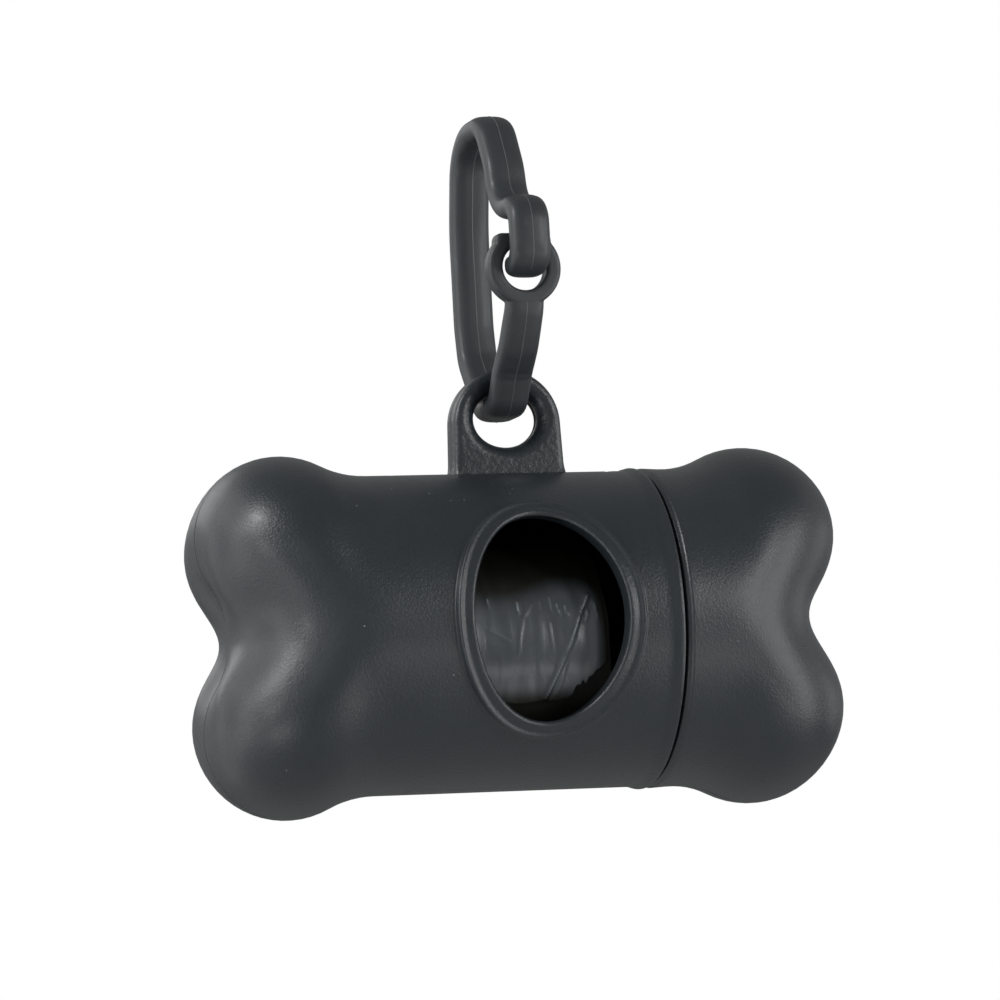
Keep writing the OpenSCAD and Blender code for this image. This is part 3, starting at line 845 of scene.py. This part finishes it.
# ---------------------------------------------------------------- geometry node trees
class NodeKit:
    """Adds nodes and links to one node tree."""

    def __init__(self, tree: bpy.types.NodeTree) -> None:
        """Starts on an empty tree."""
        self.tree = tree
        tree.nodes.clear()

    def node(self, kind: str, settings: dict | None = None, **sockets) -> bpy.types.Node:
        """Adds a node.

        Args:
            kind: the node's type.
            settings: attributes that are set first.
            sockets: values or links, by socket name with spaces as underscores, or by _number.

        Returns:
            The node.
        """
        made = self.tree.nodes.new(kind)
        for key, value in (settings or {}).items():
            setattr(made, key, value)
        for key, value in sockets.items():
            slot = made.inputs[int(key[1:]) if key[0] == "_" and key[1:].isdigit() else key.replace("_", " ")]
            if isinstance(value, Signal):
                self.tree.links.new(value.socket, slot)
            elif isinstance(value, bpy.types.NodeSocket):
                self.tree.links.new(value, slot)
            else:
                slot.default_value = value
        return made

    def signal(self, kind: str, out: int | str = 0, settings: dict | None = None, **sockets) -> "Signal":
        """Adds a node and wraps one of its outputs."""
        return Signal(self, self.node(kind, settings, **sockets).outputs[out])

    def blend(self, k, first, second) -> "Signal":
        """Colour from first to second by k; each is a colour or a signal."""
        first, second = ((*c, 1.0) if isinstance(c, tuple) else c for c in (first, second))
        return self.signal("ShaderNodeMix", 2, settings={"data_type": "RGBA"}, _0=k, _6=first, _7=second)

    def noise(self, where: "Signal", scale: float, detail: float, **sockets) -> "Signal":
        """Noise texture."""
        return self.signal("ShaderNodeTexNoise", Vector=where, Scale=scale, Detail=detail, **sockets)

    def surface(self, colour: "Signal", rough: "Signal", bump: "Signal") -> bpy.types.Node:
        """Ends the tree in a Principled surface."""
        body = self.node("ShaderNodeBsdfPrincipled", Base_Color=colour, Roughness=rough, Normal=bump)
        self.node("ShaderNodeOutputMaterial", Surface=body.outputs[0])
        return body


class Signal:
    """One output socket, on which arithmetic adds Math nodes."""

    def __init__(self, kit: NodeKit, socket: bpy.types.NodeSocket) -> None:
        """Wraps a socket of a tree."""
        self.kit, self.socket = kit, socket

    def _math(self, operation: str, a, b=0.0, clamp: bool = False) -> "Signal":
        """Adds one Math node."""
        return self.kit.signal("ShaderNodeMath", settings={"operation": operation, "use_clamp": clamp}, _0=a, _1=b)

    def __add__(self, other) -> "Signal":
        """Sum."""
        return self._math("ADD", self, other)

    __radd__ = __add__

    def __mul__(self, other) -> "Signal":
        """Product."""
        return self._math("MULTIPLY", self, other)

    __rmul__ = __mul__

    def __sub__(self, other) -> "Signal":
        """Difference."""
        return self._math("SUBTRACT", self, other)

    def __rsub__(self, other) -> "Signal":
        """Difference from a number."""
        return self._math("SUBTRACT", other, self)

    def clamp(self) -> "Signal":
        """Held between 0 and 1."""
        return self._math("ADD", self, 0.0, clamp=True)

    def ramp(self, low: float, high: float) -> "Signal":
        """Rises smoothly from 0 at low to 1 at high."""
        return self.kit.signal("ShaderNodeMapRange", settings={"interpolation_type": "SMOOTHSTEP"},
                               Value=self, From_Min=low, From_Max=high)


class TreeInput(Enum):
    """Socket types of a geometry tree's inputs."""

    NUMBER = "NodeSocketFloat"
    COUNT = "NodeSocketInt"
    FINISH = "NodeSocketMaterial"


class GeometryTree:
    """A geometry node tree with named inputs that is run once on an object."""

    def __init__(self, name: str, inputs: dict[str, TreeInput]) -> None:
        """Makes the tree with its group input and output.

        Args:
            name: tree name.
            inputs: type of each named input.
        """
        self.tree = bpy.data.node_groups.new(name, "GeometryNodeTree")
        face = self.tree.interface
        face.new_socket("Geometry", in_out="INPUT", socket_type="NodeSocketGeometry")
        for key, kind in inputs.items():
            face.new_socket(key, in_out="INPUT", socket_type=kind.value)
        face.new_socket("Geometry", in_out="OUTPUT", socket_type="NodeSocketGeometry")
        self.kit = NodeKit(self.tree)
        self.start = self.kit.node("NodeGroupInput")

    def given(self, name: str) -> Signal:
        """One of the named inputs."""
        return Signal(self.kit, self.start.outputs[name])

    def end(self, geometry: bpy.types.NodeSocket, finish: str) -> None:
        """Ends the tree in realised geometry with its material."""
        real = self.kit.node("GeometryNodeRealizeInstances", Geometry=geometry)
        dressed = self.kit.node("GeometryNodeSetMaterial", Geometry=real.outputs[0], Material=self.given(finish))
        self.kit.node("NodeGroupOutput", Geometry=dressed.outputs[0])

    def run(self, obj: bpy.types.Object, **values) -> bpy.types.Object:
        """Runs the tree on an object and keeps the result as its plain mesh.

        Args:
            obj: the object that the tree starts from.
            values: value of each named input, spaces as underscores.

        Returns:
            The object with its new mesh and no modifier.
        """
        mod = obj.modifiers.new(self.tree.name, "NODES")
        mod.node_group = self.tree
        ids = {s.name: s.identifier for s in self.tree.interface.items_tree if s.in_out == "INPUT"}
        for key, value in values.items():
            mod[ids[key.replace("_", " ")]] = value
        done = apply_modifiers(obj)
        work = bmesh.new()
        work.from_mesh(done)
        bmesh.ops.remove_doubles(work, verts=work.verts, dist=1e-7)
        bmesh.ops.recalc_face_normals(work, faces=work.faces)
        work.to_mesh(done)
        work.free()
        done.shade_smooth()
        done.set_sharp_from_angle(angle=math.radians(40))
        return obj


class BeadTree(GeometryTree):
    """A thin round bead along a path of edges."""

    def __init__(self) -> None:
        """Builds the tree: path to curve, a low oval profile swept along it."""
        super().__init__("bead_along_path", {"Width": TreeInput.NUMBER, "Height": TreeInput.NUMBER,
                                             "Sides": TreeInput.COUNT, "Finish": TreeInput.FINISH})
        kit = self.kit
        path = kit.node("GeometryNodeMeshToCurve", Mesh=self.start.outputs["Geometry"])
        upright = kit.node("GeometryNodeSetCurveNormal", {"mode": "MINIMUM_TWIST"}, Curve=path.outputs[0])
        ring = kit.node("GeometryNodeCurvePrimitiveCircle", {"mode": "RADIUS"},
                        Resolution=self.given("Sides"), Radius=0.5)
        size = kit.signal("ShaderNodeCombineXYZ", X=self.given("Width"), Y=self.given("Height"), Z=1.0)
        flat = kit.node("GeometryNodeTransform", Geometry=ring.outputs[0], Scale=size)
        bead = kit.node("GeometryNodeCurveToMesh", Curve=upright.outputs[0], Profile_Curve=flat.outputs[0],
                        Fill_Caps=True)
        self.end(bead.outputs[0], "Finish")

    def make(self, name: str, path: Array, finish: bpy.types.Material, width: float,
             height: float) -> bpy.types.Object:
        """Lays a bead along a path.

        Args:
            name: object name.
            path: points in the row frame, millimetres.
            finish: its material.
            width: width, millimetres.
            height: height, millimetres.

        Returns:
            The bead.
        """
        mesh = bpy.data.meshes.new(name)
        mesh.from_pydata((path * MM).tolist(), [(i, i + 1) for i in range(len(path) - 1)], [])
        obj = add_object(name, mesh)
        return self.run(obj, Width=width * MM, Height=height * MM, Sides=8, Finish=finish)


class WindingTree(GeometryTree):
    """A flat band wound in a spiral, its edges crumpled by seeded noise."""

    def __init__(self) -> None:
        """Builds the tree: spiral, rectangular profile, noise on the ends."""
        super().__init__("wound_film", {
            "Turns": TreeInput.NUMBER, "Inner Radius": TreeInput.NUMBER, "Outer Radius": TreeInput.NUMBER,
            "Length": TreeInput.NUMBER, "Film": TreeInput.NUMBER, "Crumple": TreeInput.NUMBER,
            "Start": TreeInput.NUMBER, "Drop": TreeInput.NUMBER, "Seed": TreeInput.NUMBER,
            "Finish": TreeInput.FINISH})
        kit = self.kit
        spiral = kit.node("GeometryNodeCurveSpiral", Resolution=72, Rotations=self.given("Turns"),
                          Start_Radius=self.given("Inner Radius"), End_Radius=self.given("Outer Radius"),
                          Height=0.0)
        band = kit.node("GeometryNodeCurvePrimitiveQuadrilateral", {"mode": "RECTANGLE"},
                        Width=self.given("Film"), Height=self.given("Length"))
        cut = kit.node("GeometryNodeSubdivideCurve", Curve=band.outputs[0], Cuts=5)
        wound = kit.node("GeometryNodeCurveToMesh", Curve=spiral.outputs[0], Profile_Curve=cut.outputs[0],
                         Fill_Caps=True)
        where = kit.signal("GeometryNodeInputPosition")
        turned = kit.node("GeometryNodeTransform", Geometry=wound.outputs[0], Rotation=(0.0, math.pi / 2, 0.0))
        shift = kit.signal("ShaderNodeCombineXYZ", X=self.given("Start"), Y=0.0, Z=self.given("Drop"))
        moved = kit.node("GeometryNodeTransform", Geometry=turned.outputs[0], Translation=shift)
        noise = kit.signal("ShaderNodeTexNoise", settings={"noise_dimensions": "4D"}, Vector=where,
                           W=self.given("Seed"), Scale=420.0, Detail=3.0)
        push = kit.signal("ShaderNodeCombineXYZ", X=(noise - 0.5) * self.given("Crumple") * 2.0, Y=0.0, Z=0.0)
        rough = kit.node("GeometryNodeSetPosition", Geometry=moved.outputs[0], Offset=push)
        self.end(rough.outputs[0], "Finish")

    def make(self, name: str, roll: Roll, finish: bpy.types.Material | None = None) -> bpy.types.Object:
        """Winds the film of a roll.

        Args:
            name: object name.
            roll: the roll's sizes.
            finish: its material.

        Returns:
            The wound band.
        """
        pitch = (roll.radius - roll.hollow) / roll.turns
        obj = add_object(name, bpy.data.meshes.new(name))
        return self.run(obj, Turns=float(roll.turns - 0.15), Inner_Radius=(roll.hollow + pitch * 0.5) * MM,
                        Outer_Radius=(roll.radius - pitch * 0.5) * MM, Length=(roll.x1 - roll.x0 - 1.0) * MM,
                        Film=pitch * 0.86 * MM, Crumple=0.5 * MM, Start=(roll.x0 + roll.x1) / 2 * MM,
                        Drop=(roll.drop + AXIS_Z) * MM, Seed=4.0, Finish=finish)


# ---------------------------------------------------------------- finishes
def new_material(name: str) -> tuple[bpy.types.Material, NodeKit]:
    """Makes an empty node material."""
    mat = bpy.data.materials.new(name)
    mat.use_nodes = True
    return mat, NodeKit(mat.node_tree)


@dataclass(frozen=True)
class MouldedPlastic:
    """Injection-moulded plastic with a fine spark-eroded grain and polished wear."""

    name: str
    colour: tuple[float, float, float]
    pale: tuple[float, float, float]
    roughness: float = 0.37
    grain_mm: float = 0.13
    grain_depth_mm: float = 0.075
    sheen: float = 0.3
    dust: float = 0.0
    seed: float = 1.0

    def build(self) -> bpy.types.Material:
        """Builds the material."""
        mat, kit = new_material(self.name)
        where = kit.signal("ShaderNodeTexCoord", "Object")
        shifted = kit.signal("ShaderNodeMapping", Vector=where, Location=(self.seed * 0.37, self.seed * 0.11, 0.0))
        grain = kit.noise(shifted, 1.0 / (self.grain_mm * MM * 2.2), 3.0, Roughness=0.62)
        pits = kit.signal("ShaderNodeTexVoronoi", "Distance", settings={"feature": "F1"}, Vector=shifted,
                          Scale=1.0 / (self.grain_mm * MM * 2.6), Randomness=1.0)
        cloud = kit.noise(shifted, 85.0, 4.0, Roughness=0.55)
        worn = kit.signal("ShaderNodeNewGeometry", "Pointiness").ramp(0.52, 0.6) * cloud.ramp(0.35, 0.65)
        tone = (cloud.ramp(0.3, 0.7) * 0.32 + grain.ramp(0.35, 0.7) * 0.3 + worn * 0.45).clamp()
        colour = kit.blend(tone, self.colour, self.pale)
        if self.dust:
            cell = kit.signal("ShaderNodeTexVoronoi", "Distance", Vector=shifted, Scale=1.0 / (2.4 * MM),
                              Randomness=1.0)
            specks = cell.ramp(0.05, 0.025) * cloud.ramp(0.5, 0.6) * self.dust
            colour = kit.blend(specks, colour, (0.24, 0.25, 0.26))
        rough = (self.roughness + (cloud - 0.5) * 0.16 + (grain - 0.5) * 0.12 - worn * 0.12).clamp()
        height = grain * 0.7 + pits * 0.3
        bump = kit.signal("ShaderNodeBump", Strength=1.0, Distance=self.grain_depth_mm * MM, Height=height)
        body = kit.surface(colour, rough, bump)
        body.inputs["Coat Weight"].default_value = self.sheen
        body.inputs["Coat Roughness"].default_value = 0.3
        return mat


@dataclass(frozen=True)
class BagFilm:
    """Thin glossy black film with soft creases, with a painted shadow that darkens it with height between two
    levels given in mm, painted shade at its lowest part and at its end towards +X, and painted glints along the
    creases.
    """

    name: str
    colour: tuple[float, float, float] = (0.070, 0.079, 0.088)
    tint: tuple[float, float, float] = (0.104, 0.117, 0.128)
    roughness: float = 0.3
    # near-black colour of the painted shadow, and the heights in mm above which it is full and below which it is
    # gone
    shadow_colour: tuple[float, float, float] = (0.0035, 0.0032, 0.0012)
    shadow_from: float = -57.6
    shadow_to: float = -61.0

    def build(self) -> bpy.types.Material:
        """Builds the material."""
        mat, kit = new_material(self.name)
        where = kit.signal("ShaderNodeTexCoord", "Object")
        along = kit.signal("ShaderNodeMapping", Vector=where, Scale=(1.0, 0.14, 0.14))
        crease = kit.noise(along, 900.0, 4.0, Roughness=0.6, Distortion=0.4)
        cloud = kit.noise(where, 110.0, 2.0)
        plain = kit.blend(cloud.ramp(0.3, 0.7), self.colour, self.tint)
        level = kit.signal("ShaderNodeSeparateXYZ", "Z", Vector=where)
        along_x = kit.signal("ShaderNodeSeparateXYZ", "X", Vector=where)
        # Painted shadow: the film fades to near black upwards, its edge arched higher in the middle; painted shade
        # also darkens its lowest part and its end towards +X.
        shadow_edge_arch = along_x.ramp(-5.0 * MM, 3.0 * MM) * along_x.ramp(8.0 * MM, 4.0 * MM)
        painted_lit_mask = (level + (cloud - 0.5) * 2.0 * MM - shadow_edge_arch * 2.0 * MM).ramp(self.shadow_from * MM, self.shadow_to * MM)
        painted_lit_mask = painted_lit_mask * level.ramp(-71.4 * MM, -69.2 * MM) * along_x.ramp(7.2 * MM, 5.9 * MM)
        # Painted glints: the colour is lifted towards pale grey-blue where the 'stretched' attribute marks them.
        pale = kit.signal("ShaderNodeAttribute", "Fac", settings={"attribute_name": "stretched"})
        colour = kit.blend(pale * 0.5, kit.blend(painted_lit_mask, self.shadow_colour, plain), (0.42, 0.48, 0.52))
        rough = (self.roughness + (cloud - 0.5) * 0.2 + (1.0 - painted_lit_mask) * 0.2).clamp()
        bump = kit.signal("ShaderNodeBump", Strength=0.6, Distance=0.05 * MM, Height=crease)
        kit.surface(colour, rough, bump)
        return mat


@dataclass(frozen=True)
class GreyCard:
    """Spiral-wound brown card with short fibres."""

    name: str
    colour: tuple[float, float, float] = (0.30, 0.20, 0.115)
    pale: tuple[float, float, float] = (0.46, 0.34, 0.21)

    def build(self) -> bpy.types.Material:
        """Builds the material."""
        mat, kit = new_material(self.name)
        where = kit.signal("ShaderNodeTexCoord", "Object")
        stretched = kit.signal("ShaderNodeMapping", Vector=where, Scale=(0.35, 1.0, 1.0))
        fibre = kit.noise(stretched, 1400.0, 5.0, Roughness=0.7)
        seam = kit.signal("ShaderNodeTexWave", 1, settings={"wave_type": "BANDS", "bands_direction": "DIAGONAL"},
                          Vector=where, Scale=22.0, Distortion=0.3).ramp(0.94, 0.99)
        tone = (fibre.ramp(0.3, 0.7) - seam * 0.5).clamp()
        colour = kit.blend(tone, self.colour, self.pale)
        bump = kit.signal("ShaderNodeBump", Strength=0.7, Distance=0.06 * MM, Height=fibre - seam * 0.6)
        kit.surface(colour, 0.86 + fibre * 0.1, bump)
        return mat


@dataclass(frozen=True)
class StudioFloor:
    """Matt pale studio floor, lifted for the eye alone so that it throws little light on the object."""

    name: str
    lift: float = 0.8

    def build(self) -> bpy.types.Material:
        """Builds the material."""
        mat, kit = new_material(self.name)
        where = kit.signal("ShaderNodeTexCoord", "Object")
        colour = kit.blend(kit.noise(where, 14.0, 3.0), (0.50, 0.50, 0.50), (0.53, 0.53, 0.53))
        seen = kit.signal("ShaderNodeLightPath", "Is Camera Ray")
        matt = kit.node("ShaderNodeBsdfPrincipled", Base_Color=colour, Roughness=0.8)
        pale = kit.node("ShaderNodeEmission", Color=(0.66, 0.66, 0.66, 1.0), Strength=1.0)
        body = kit.node("ShaderNodeMixShader", _0=seen * self.lift, _1=matt.outputs[0], _2=pale.outputs[0])
        kit.node("ShaderNodeOutputMaterial", Surface=body.outputs[0])
        return mat


class Slot(Enum):
    """Material slots of the record."""

    CASE = "case_plastic"
    CLIP = "clip_plastic"
    FILM = "bag_film"


class Finishes:
    """The finish of each slot, each built once."""

    def __init__(self) -> None:
        """Builds every finish."""
        self.case = MouldedPlastic("case_plastic_fine_grain", *CHARCOAL, dust=1.0).build()
        self.tab = MouldedPlastic("case_plastic_leather_grain", *CHARCOAL, grain_mm=0.28, grain_depth_mm=0.12,
                                  dust=0.7, seed=2.0).build()
        self.inside = MouldedPlastic("sleeve_plastic", *CHARCOAL, roughness=0.42, grain_depth_mm=0.02,
                                     seed=3.0).build()
        self.clip = MouldedPlastic("clip_plastic_satin", (0.0200, 0.0248, 0.0280), (0.0330, 0.0378, 0.0410),
                                   roughness=0.52, grain_mm=0.16, grain_depth_mm=0.03, seed=4.0).build()
        self.flash = MouldedPlastic("clip_plastic_flash", (0.062, 0.065, 0.068), (0.10, 0.103, 0.106),
                                    roughness=0.45, grain_depth_mm=0.02, seed=5.0).build()
        self.film = BagFilm("bag_film_loose").build()
        # Far darker than the loose bag, a painted shade on the windings, to match the photo at rest; on a real
        # roll both are one film
        self.wound = BagFilm("bag_film_wound", (0.006, 0.0063, 0.006), (0.010, 0.0105, 0.0095), 0.5).build()
        self.card = GreyCard("core_card").build()
        self.floor = StudioFloor("studio_floor").build()


# ---------------------------------------------------------------- assembly
def dress(obj: bpy.types.Object, mat: bpy.types.Material) -> bpy.types.Object:
    """Gives an object one material."""
    if obj.data.materials:
        obj.data.materials[0] = mat
    else:
        obj.data.materials.append(mat)
    return obj


def report(obj: bpy.types.Object, body: str) -> None:
    """Logs one finished piece."""
    LOG.info("%s on %s: %d faces", obj.name, body, len(obj.data.polygons))


class Dispenser:
    """All sub-assemblies, built and dressed in order."""

    def __init__(self) -> None:
        """Takes the finishes and the sub-assemblies' sizes."""
        self.finishes = Finishes()
        self.case, self.cap, self.clip, self.roll = Case(), Cap(), Clip(), Roll()

    def carry(self, obj: bpy.types.Object, body: str, mat: bpy.types.Material, slot: Slot, *nodes: str) -> None:
        """Dresses a piece, lets it ride on a body and stand for CAD nodes."""
        dress(obj, mat)
        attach(obj, body)
        if nodes:
            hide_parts(*nodes)
        report(obj, body)

    def build_case(self) -> None:
        """Case shells and tab."""
        f = self.finishes
        self.carry(self.case.front_shell(), "case", f.case, Slot.CASE, "case_front_shell")
        self.carry(self.case.back_shell(), "case", f.case, Slot.CASE, "case_back_shell")
        self.carry(self.case.tab(), "case", f.tab, Slot.CASE)

    def build_cap(self) -> None:
        """Cap shells."""
        f = self.finishes
        self.carry(self.cap.half("cap_front", -1), "cap", f.case, Slot.CASE, "cap_front_shell")
        self.carry(self.cap.half("cap_back", 1), "cap", f.case, Slot.CASE, "cap_back_shell")

    def build_clip(self) -> None:
        """The clip's frame, its flexing gate, eye and parting lines."""
        f, clip = self.finishes, self.clip
        self.carry(clip.arm(), "carabiner", f.clip, Slot.CLIP, "carabiner_frame")
        start = tuple(v * MM for v in clip.place(3.9, 30.0, 0.0))
        end = tuple(v * MM for v in clip.place(6.9, 33.2, 0.0))
        lever = dress(clip.lever(), f.clip)
        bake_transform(lever)
        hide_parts("carabiner_gate")
        report(lever, "carabiner to gate")
        bead = BeadTree()
        high, _ = clip.split()
        low, fit = clip.lever_line()
        for name, side in (("outer", 1), ("inner", -1)):
            piece = bead.make(f"frame_parting_{name}", clip.flash_path(high[6:-2], side), f.flash, 0.16, 0.15)
            self.carry(piece, "carabiner", f.flash, Slot.CLIP)
        for name, side in (("outer", -1), ("inner", 1)):
            path = clip.flash_path(low[2:-3], side, fit[2:-3, 1])
            piece = dress(bead.make(f"gate_parting_{name}", path, f.flash, 0.16, 0.15), f.flash)
            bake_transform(piece)
            report(piece, "carabiner to gate")

    def build_roll(self) -> None:
        """The wound roll and the loose outermost bag."""
        f = self.finishes
        self.carry(WindingTree().make("bag_windings", self.roll, f.wound), "roll", f.wound, Slot.FILM, "bag_roll")
        sheet = self.roll.leader()
        self.carry(sheet, "roll", f.film, Slot.FILM, "bag_leader")

    def dress_solids(self) -> None:
        """Finishes of the CAD nodes that stay."""
        for node, mat in (("cap_sleeve", self.finishes.inside), ("roll_core", self.finishes.card)):
            obj = bpy.data.objects[node]
            dress(obj, mat)
            report(obj, "its own body")


@dataclass(frozen=True)
class SoftBox:
    """A soft light: its direction in the camera's axes (right, up, back), its size in metres and its power."""

    name: str
    toward: tuple[float, float, float]
    size: tuple[float, float]
    power: float


@dataclass(frozen=True)
class Studio:
    """Camera, soft lights and pale floor.

    The camera's values are a least-squares fit to the photo's outline. The lights aren't a guess at the real
    studio: 11 of the 25 powers are what a least-squares fit to the photo's brightness printed, rounded, 3 are
    within 10 % of it, and the rest were changed or added.
    """

    eye: tuple[float, float, float] = (-0.19258, -0.63987, -0.11891)
    forward: tuple[float, float, float] = (0.2851, 0.9522, 0.1097)
    roll_deg: float = -3.085
    lens: float = 194.67
    floor_z: float = -0.5
    target: tuple[float, float, float] = (0.0, 0.0, -0.055)
    reach: float = 0.85
    surround: float = 0.25

    BOXES = tuple(SoftBox(*row) for row in (
        ("box_left", (-0.97, 0.03, 0.19), (0.3, 0.75), 1.26),
        ("box_left_wide", (-0.9, 0.3, 0.3), (0.5, 0.5), 0.2),
        ("box_left_low", (-0.8, -0.3, 0.5), (0.5, 0.5), 0.43),
        ("box_left_front", (-0.8, 0.45, 0.4), (0.22, 0.22), 1.0),
        ("box_low_left", (-0.5, -0.4, 0.76), (0.3, 0.3), 0.9),
        ("box_low_side", (-0.92, -0.36, -0.05), (0.3, 0.3), 0.3),
        ("spark_left", (-0.7, 0.62, 0.34), (0.08, 0.08), 1.6),
        ("spark_left_soft", (-0.62, 0.72, 0.3), (0.2, 0.2), 0.3),
        ("spark_front", (-0.75, 0.1, 0.65), (0.1, 0.1), 0.5),
        ("back_left_high", (-0.8, 0.5, -0.3), (0.45, 0.45), 0.6),
        ("back_left", (-0.95, 0.1, -0.3), (0.4, 0.6), 0.22),
        ("back_left_low", (-0.75, -0.5, -0.42), (0.45, 0.45), 0.32),
        ("back_left_notch", (-0.52, 0.27, -0.8), (0.32, 0.32), 0.34),
        ("rim_left", (-0.86, -0.05, -0.5), (0.3, 0.4), 0.24),
        ("box_right", (0.97, 0.03, 0.19), (0.3, 0.75), 2.1),
        ("box_right_front", (0.84, 0.14, 0.53), (0.14, 0.24), 0.55),
        ("box_right_high", (0.74, 0.36, 0.56), (0.12, 0.2), 0.72),
        ("box_right_top", (0.7, 0.46, 0.55), (0.15, 0.15), 0.2),
        ("box_right_low", (0.7, -0.5, 0.5), (0.4, 0.4), 1.3),
        ("box_low_right", (0.54, -0.2, 0.81), (0.2, 0.13), 0.25),
        ("rim_right", (0.86, -0.05, -0.5), (0.3, 0.4), 0.3),
        ("back_right", (0.8, 0.4, -0.4), (0.45, 0.45), 0.11),
        ("box_front", (0.0, 0.3, 0.95), (0.7, 0.7), 0.12),
        ("box_top_front", (-0.3, 0.3, 0.9), (0.3, 0.3), 0.2),
        ("box_low_front", (0.25, -0.2, 0.94), (0.3, 0.3), 0.05)))

    def axes(self) -> Matrix:
        """Turn of the camera: its right, up and back as columns."""
        fwd = Vector(self.forward).normalized()
        right = fwd.cross(Vector((0, 0, 1))).normalized()
        up = right.cross(fwd)
        a = math.radians(self.roll_deg)
        x, y = right * math.cos(a) + up * math.sin(a), up * math.cos(a) - right * math.sin(a)
        return Matrix((x, y, -fwd)).transposed()

    def camera(self) -> None:
        """Sets the camera."""
        data = bpy.data.cameras.new("camera")
        data.lens, data.sensor_width, data.clip_start, data.clip_end = self.lens, 36.0, 0.01, 20.0
        cam = add_object("camera", data)
        cam.matrix_world = Matrix.Translation(self.eye) @ self.axes().to_4x4()
        bpy.context.scene.camera = cam

    def lights(self) -> None:
        """Adds the soft boxes and an even, dim surround that is white behind the object."""
        for box in self.BOXES:
            data = bpy.data.lights.new(box.name, "AREA")
            data.shape, data.size, data.size_y, data.energy = "RECTANGLE", *box.size, box.power
            lamp = add_object(box.name, data)
            out = self.axes() @ Vector(box.toward).normalized()
            place = Matrix.Translation(Vector(self.target) + out * self.reach)
            lamp.matrix_world = place @ (-out).to_track_quat("-Z", "Y").to_matrix().to_4x4()
        world = bpy.data.worlds.new("surround")
        bpy.context.scene.world = world
        world.use_nodes = True
        kit = NodeKit(world.node_tree)
        seen = kit.signal("ShaderNodeLightPath", "Is Camera Ray")
        sky = kit.node("ShaderNodeBackground", Color=(1.0, 1.0, 1.0, 1.0),
                       Strength=seen * (1.0 - self.surround) + self.surround)
        kit.node("ShaderNodeOutputWorld", Surface=sky.outputs[0])

    def floor(self, finish: bpy.types.Material) -> None:
        """Lays the floor."""
        n, s = 9, 8.0
        pts = [((i / (n - 1) - 0.5) * s, (j / (n - 1) - 0.5) * s, self.floor_z)
               for j in range(n) for i in range(n)]
        mesh = bpy.data.meshes.new("studio_floor")
        mesh.from_pydata(pts, [], tube_faces(n, n, closed=False))
        obj = add_object("studio_floor", mesh)
        dress(obj, finish)


def main() -> None:
    """Builds the whole scene."""
    logging.basicConfig(level=logging.INFO, format="%(message)s")
    bpy.context.scene.view_settings.view_transform = "Standard"
    studio = Studio()
    studio.camera()
    parts = Dispenser()
    parts.build_case()
    parts.build_cap()
    parts.build_clip()
    parts.build_roll()
    parts.dress_solids()
    studio.floor(parts.finishes.floor)
    studio.lights()


if __name__ == "__main__":
    main()
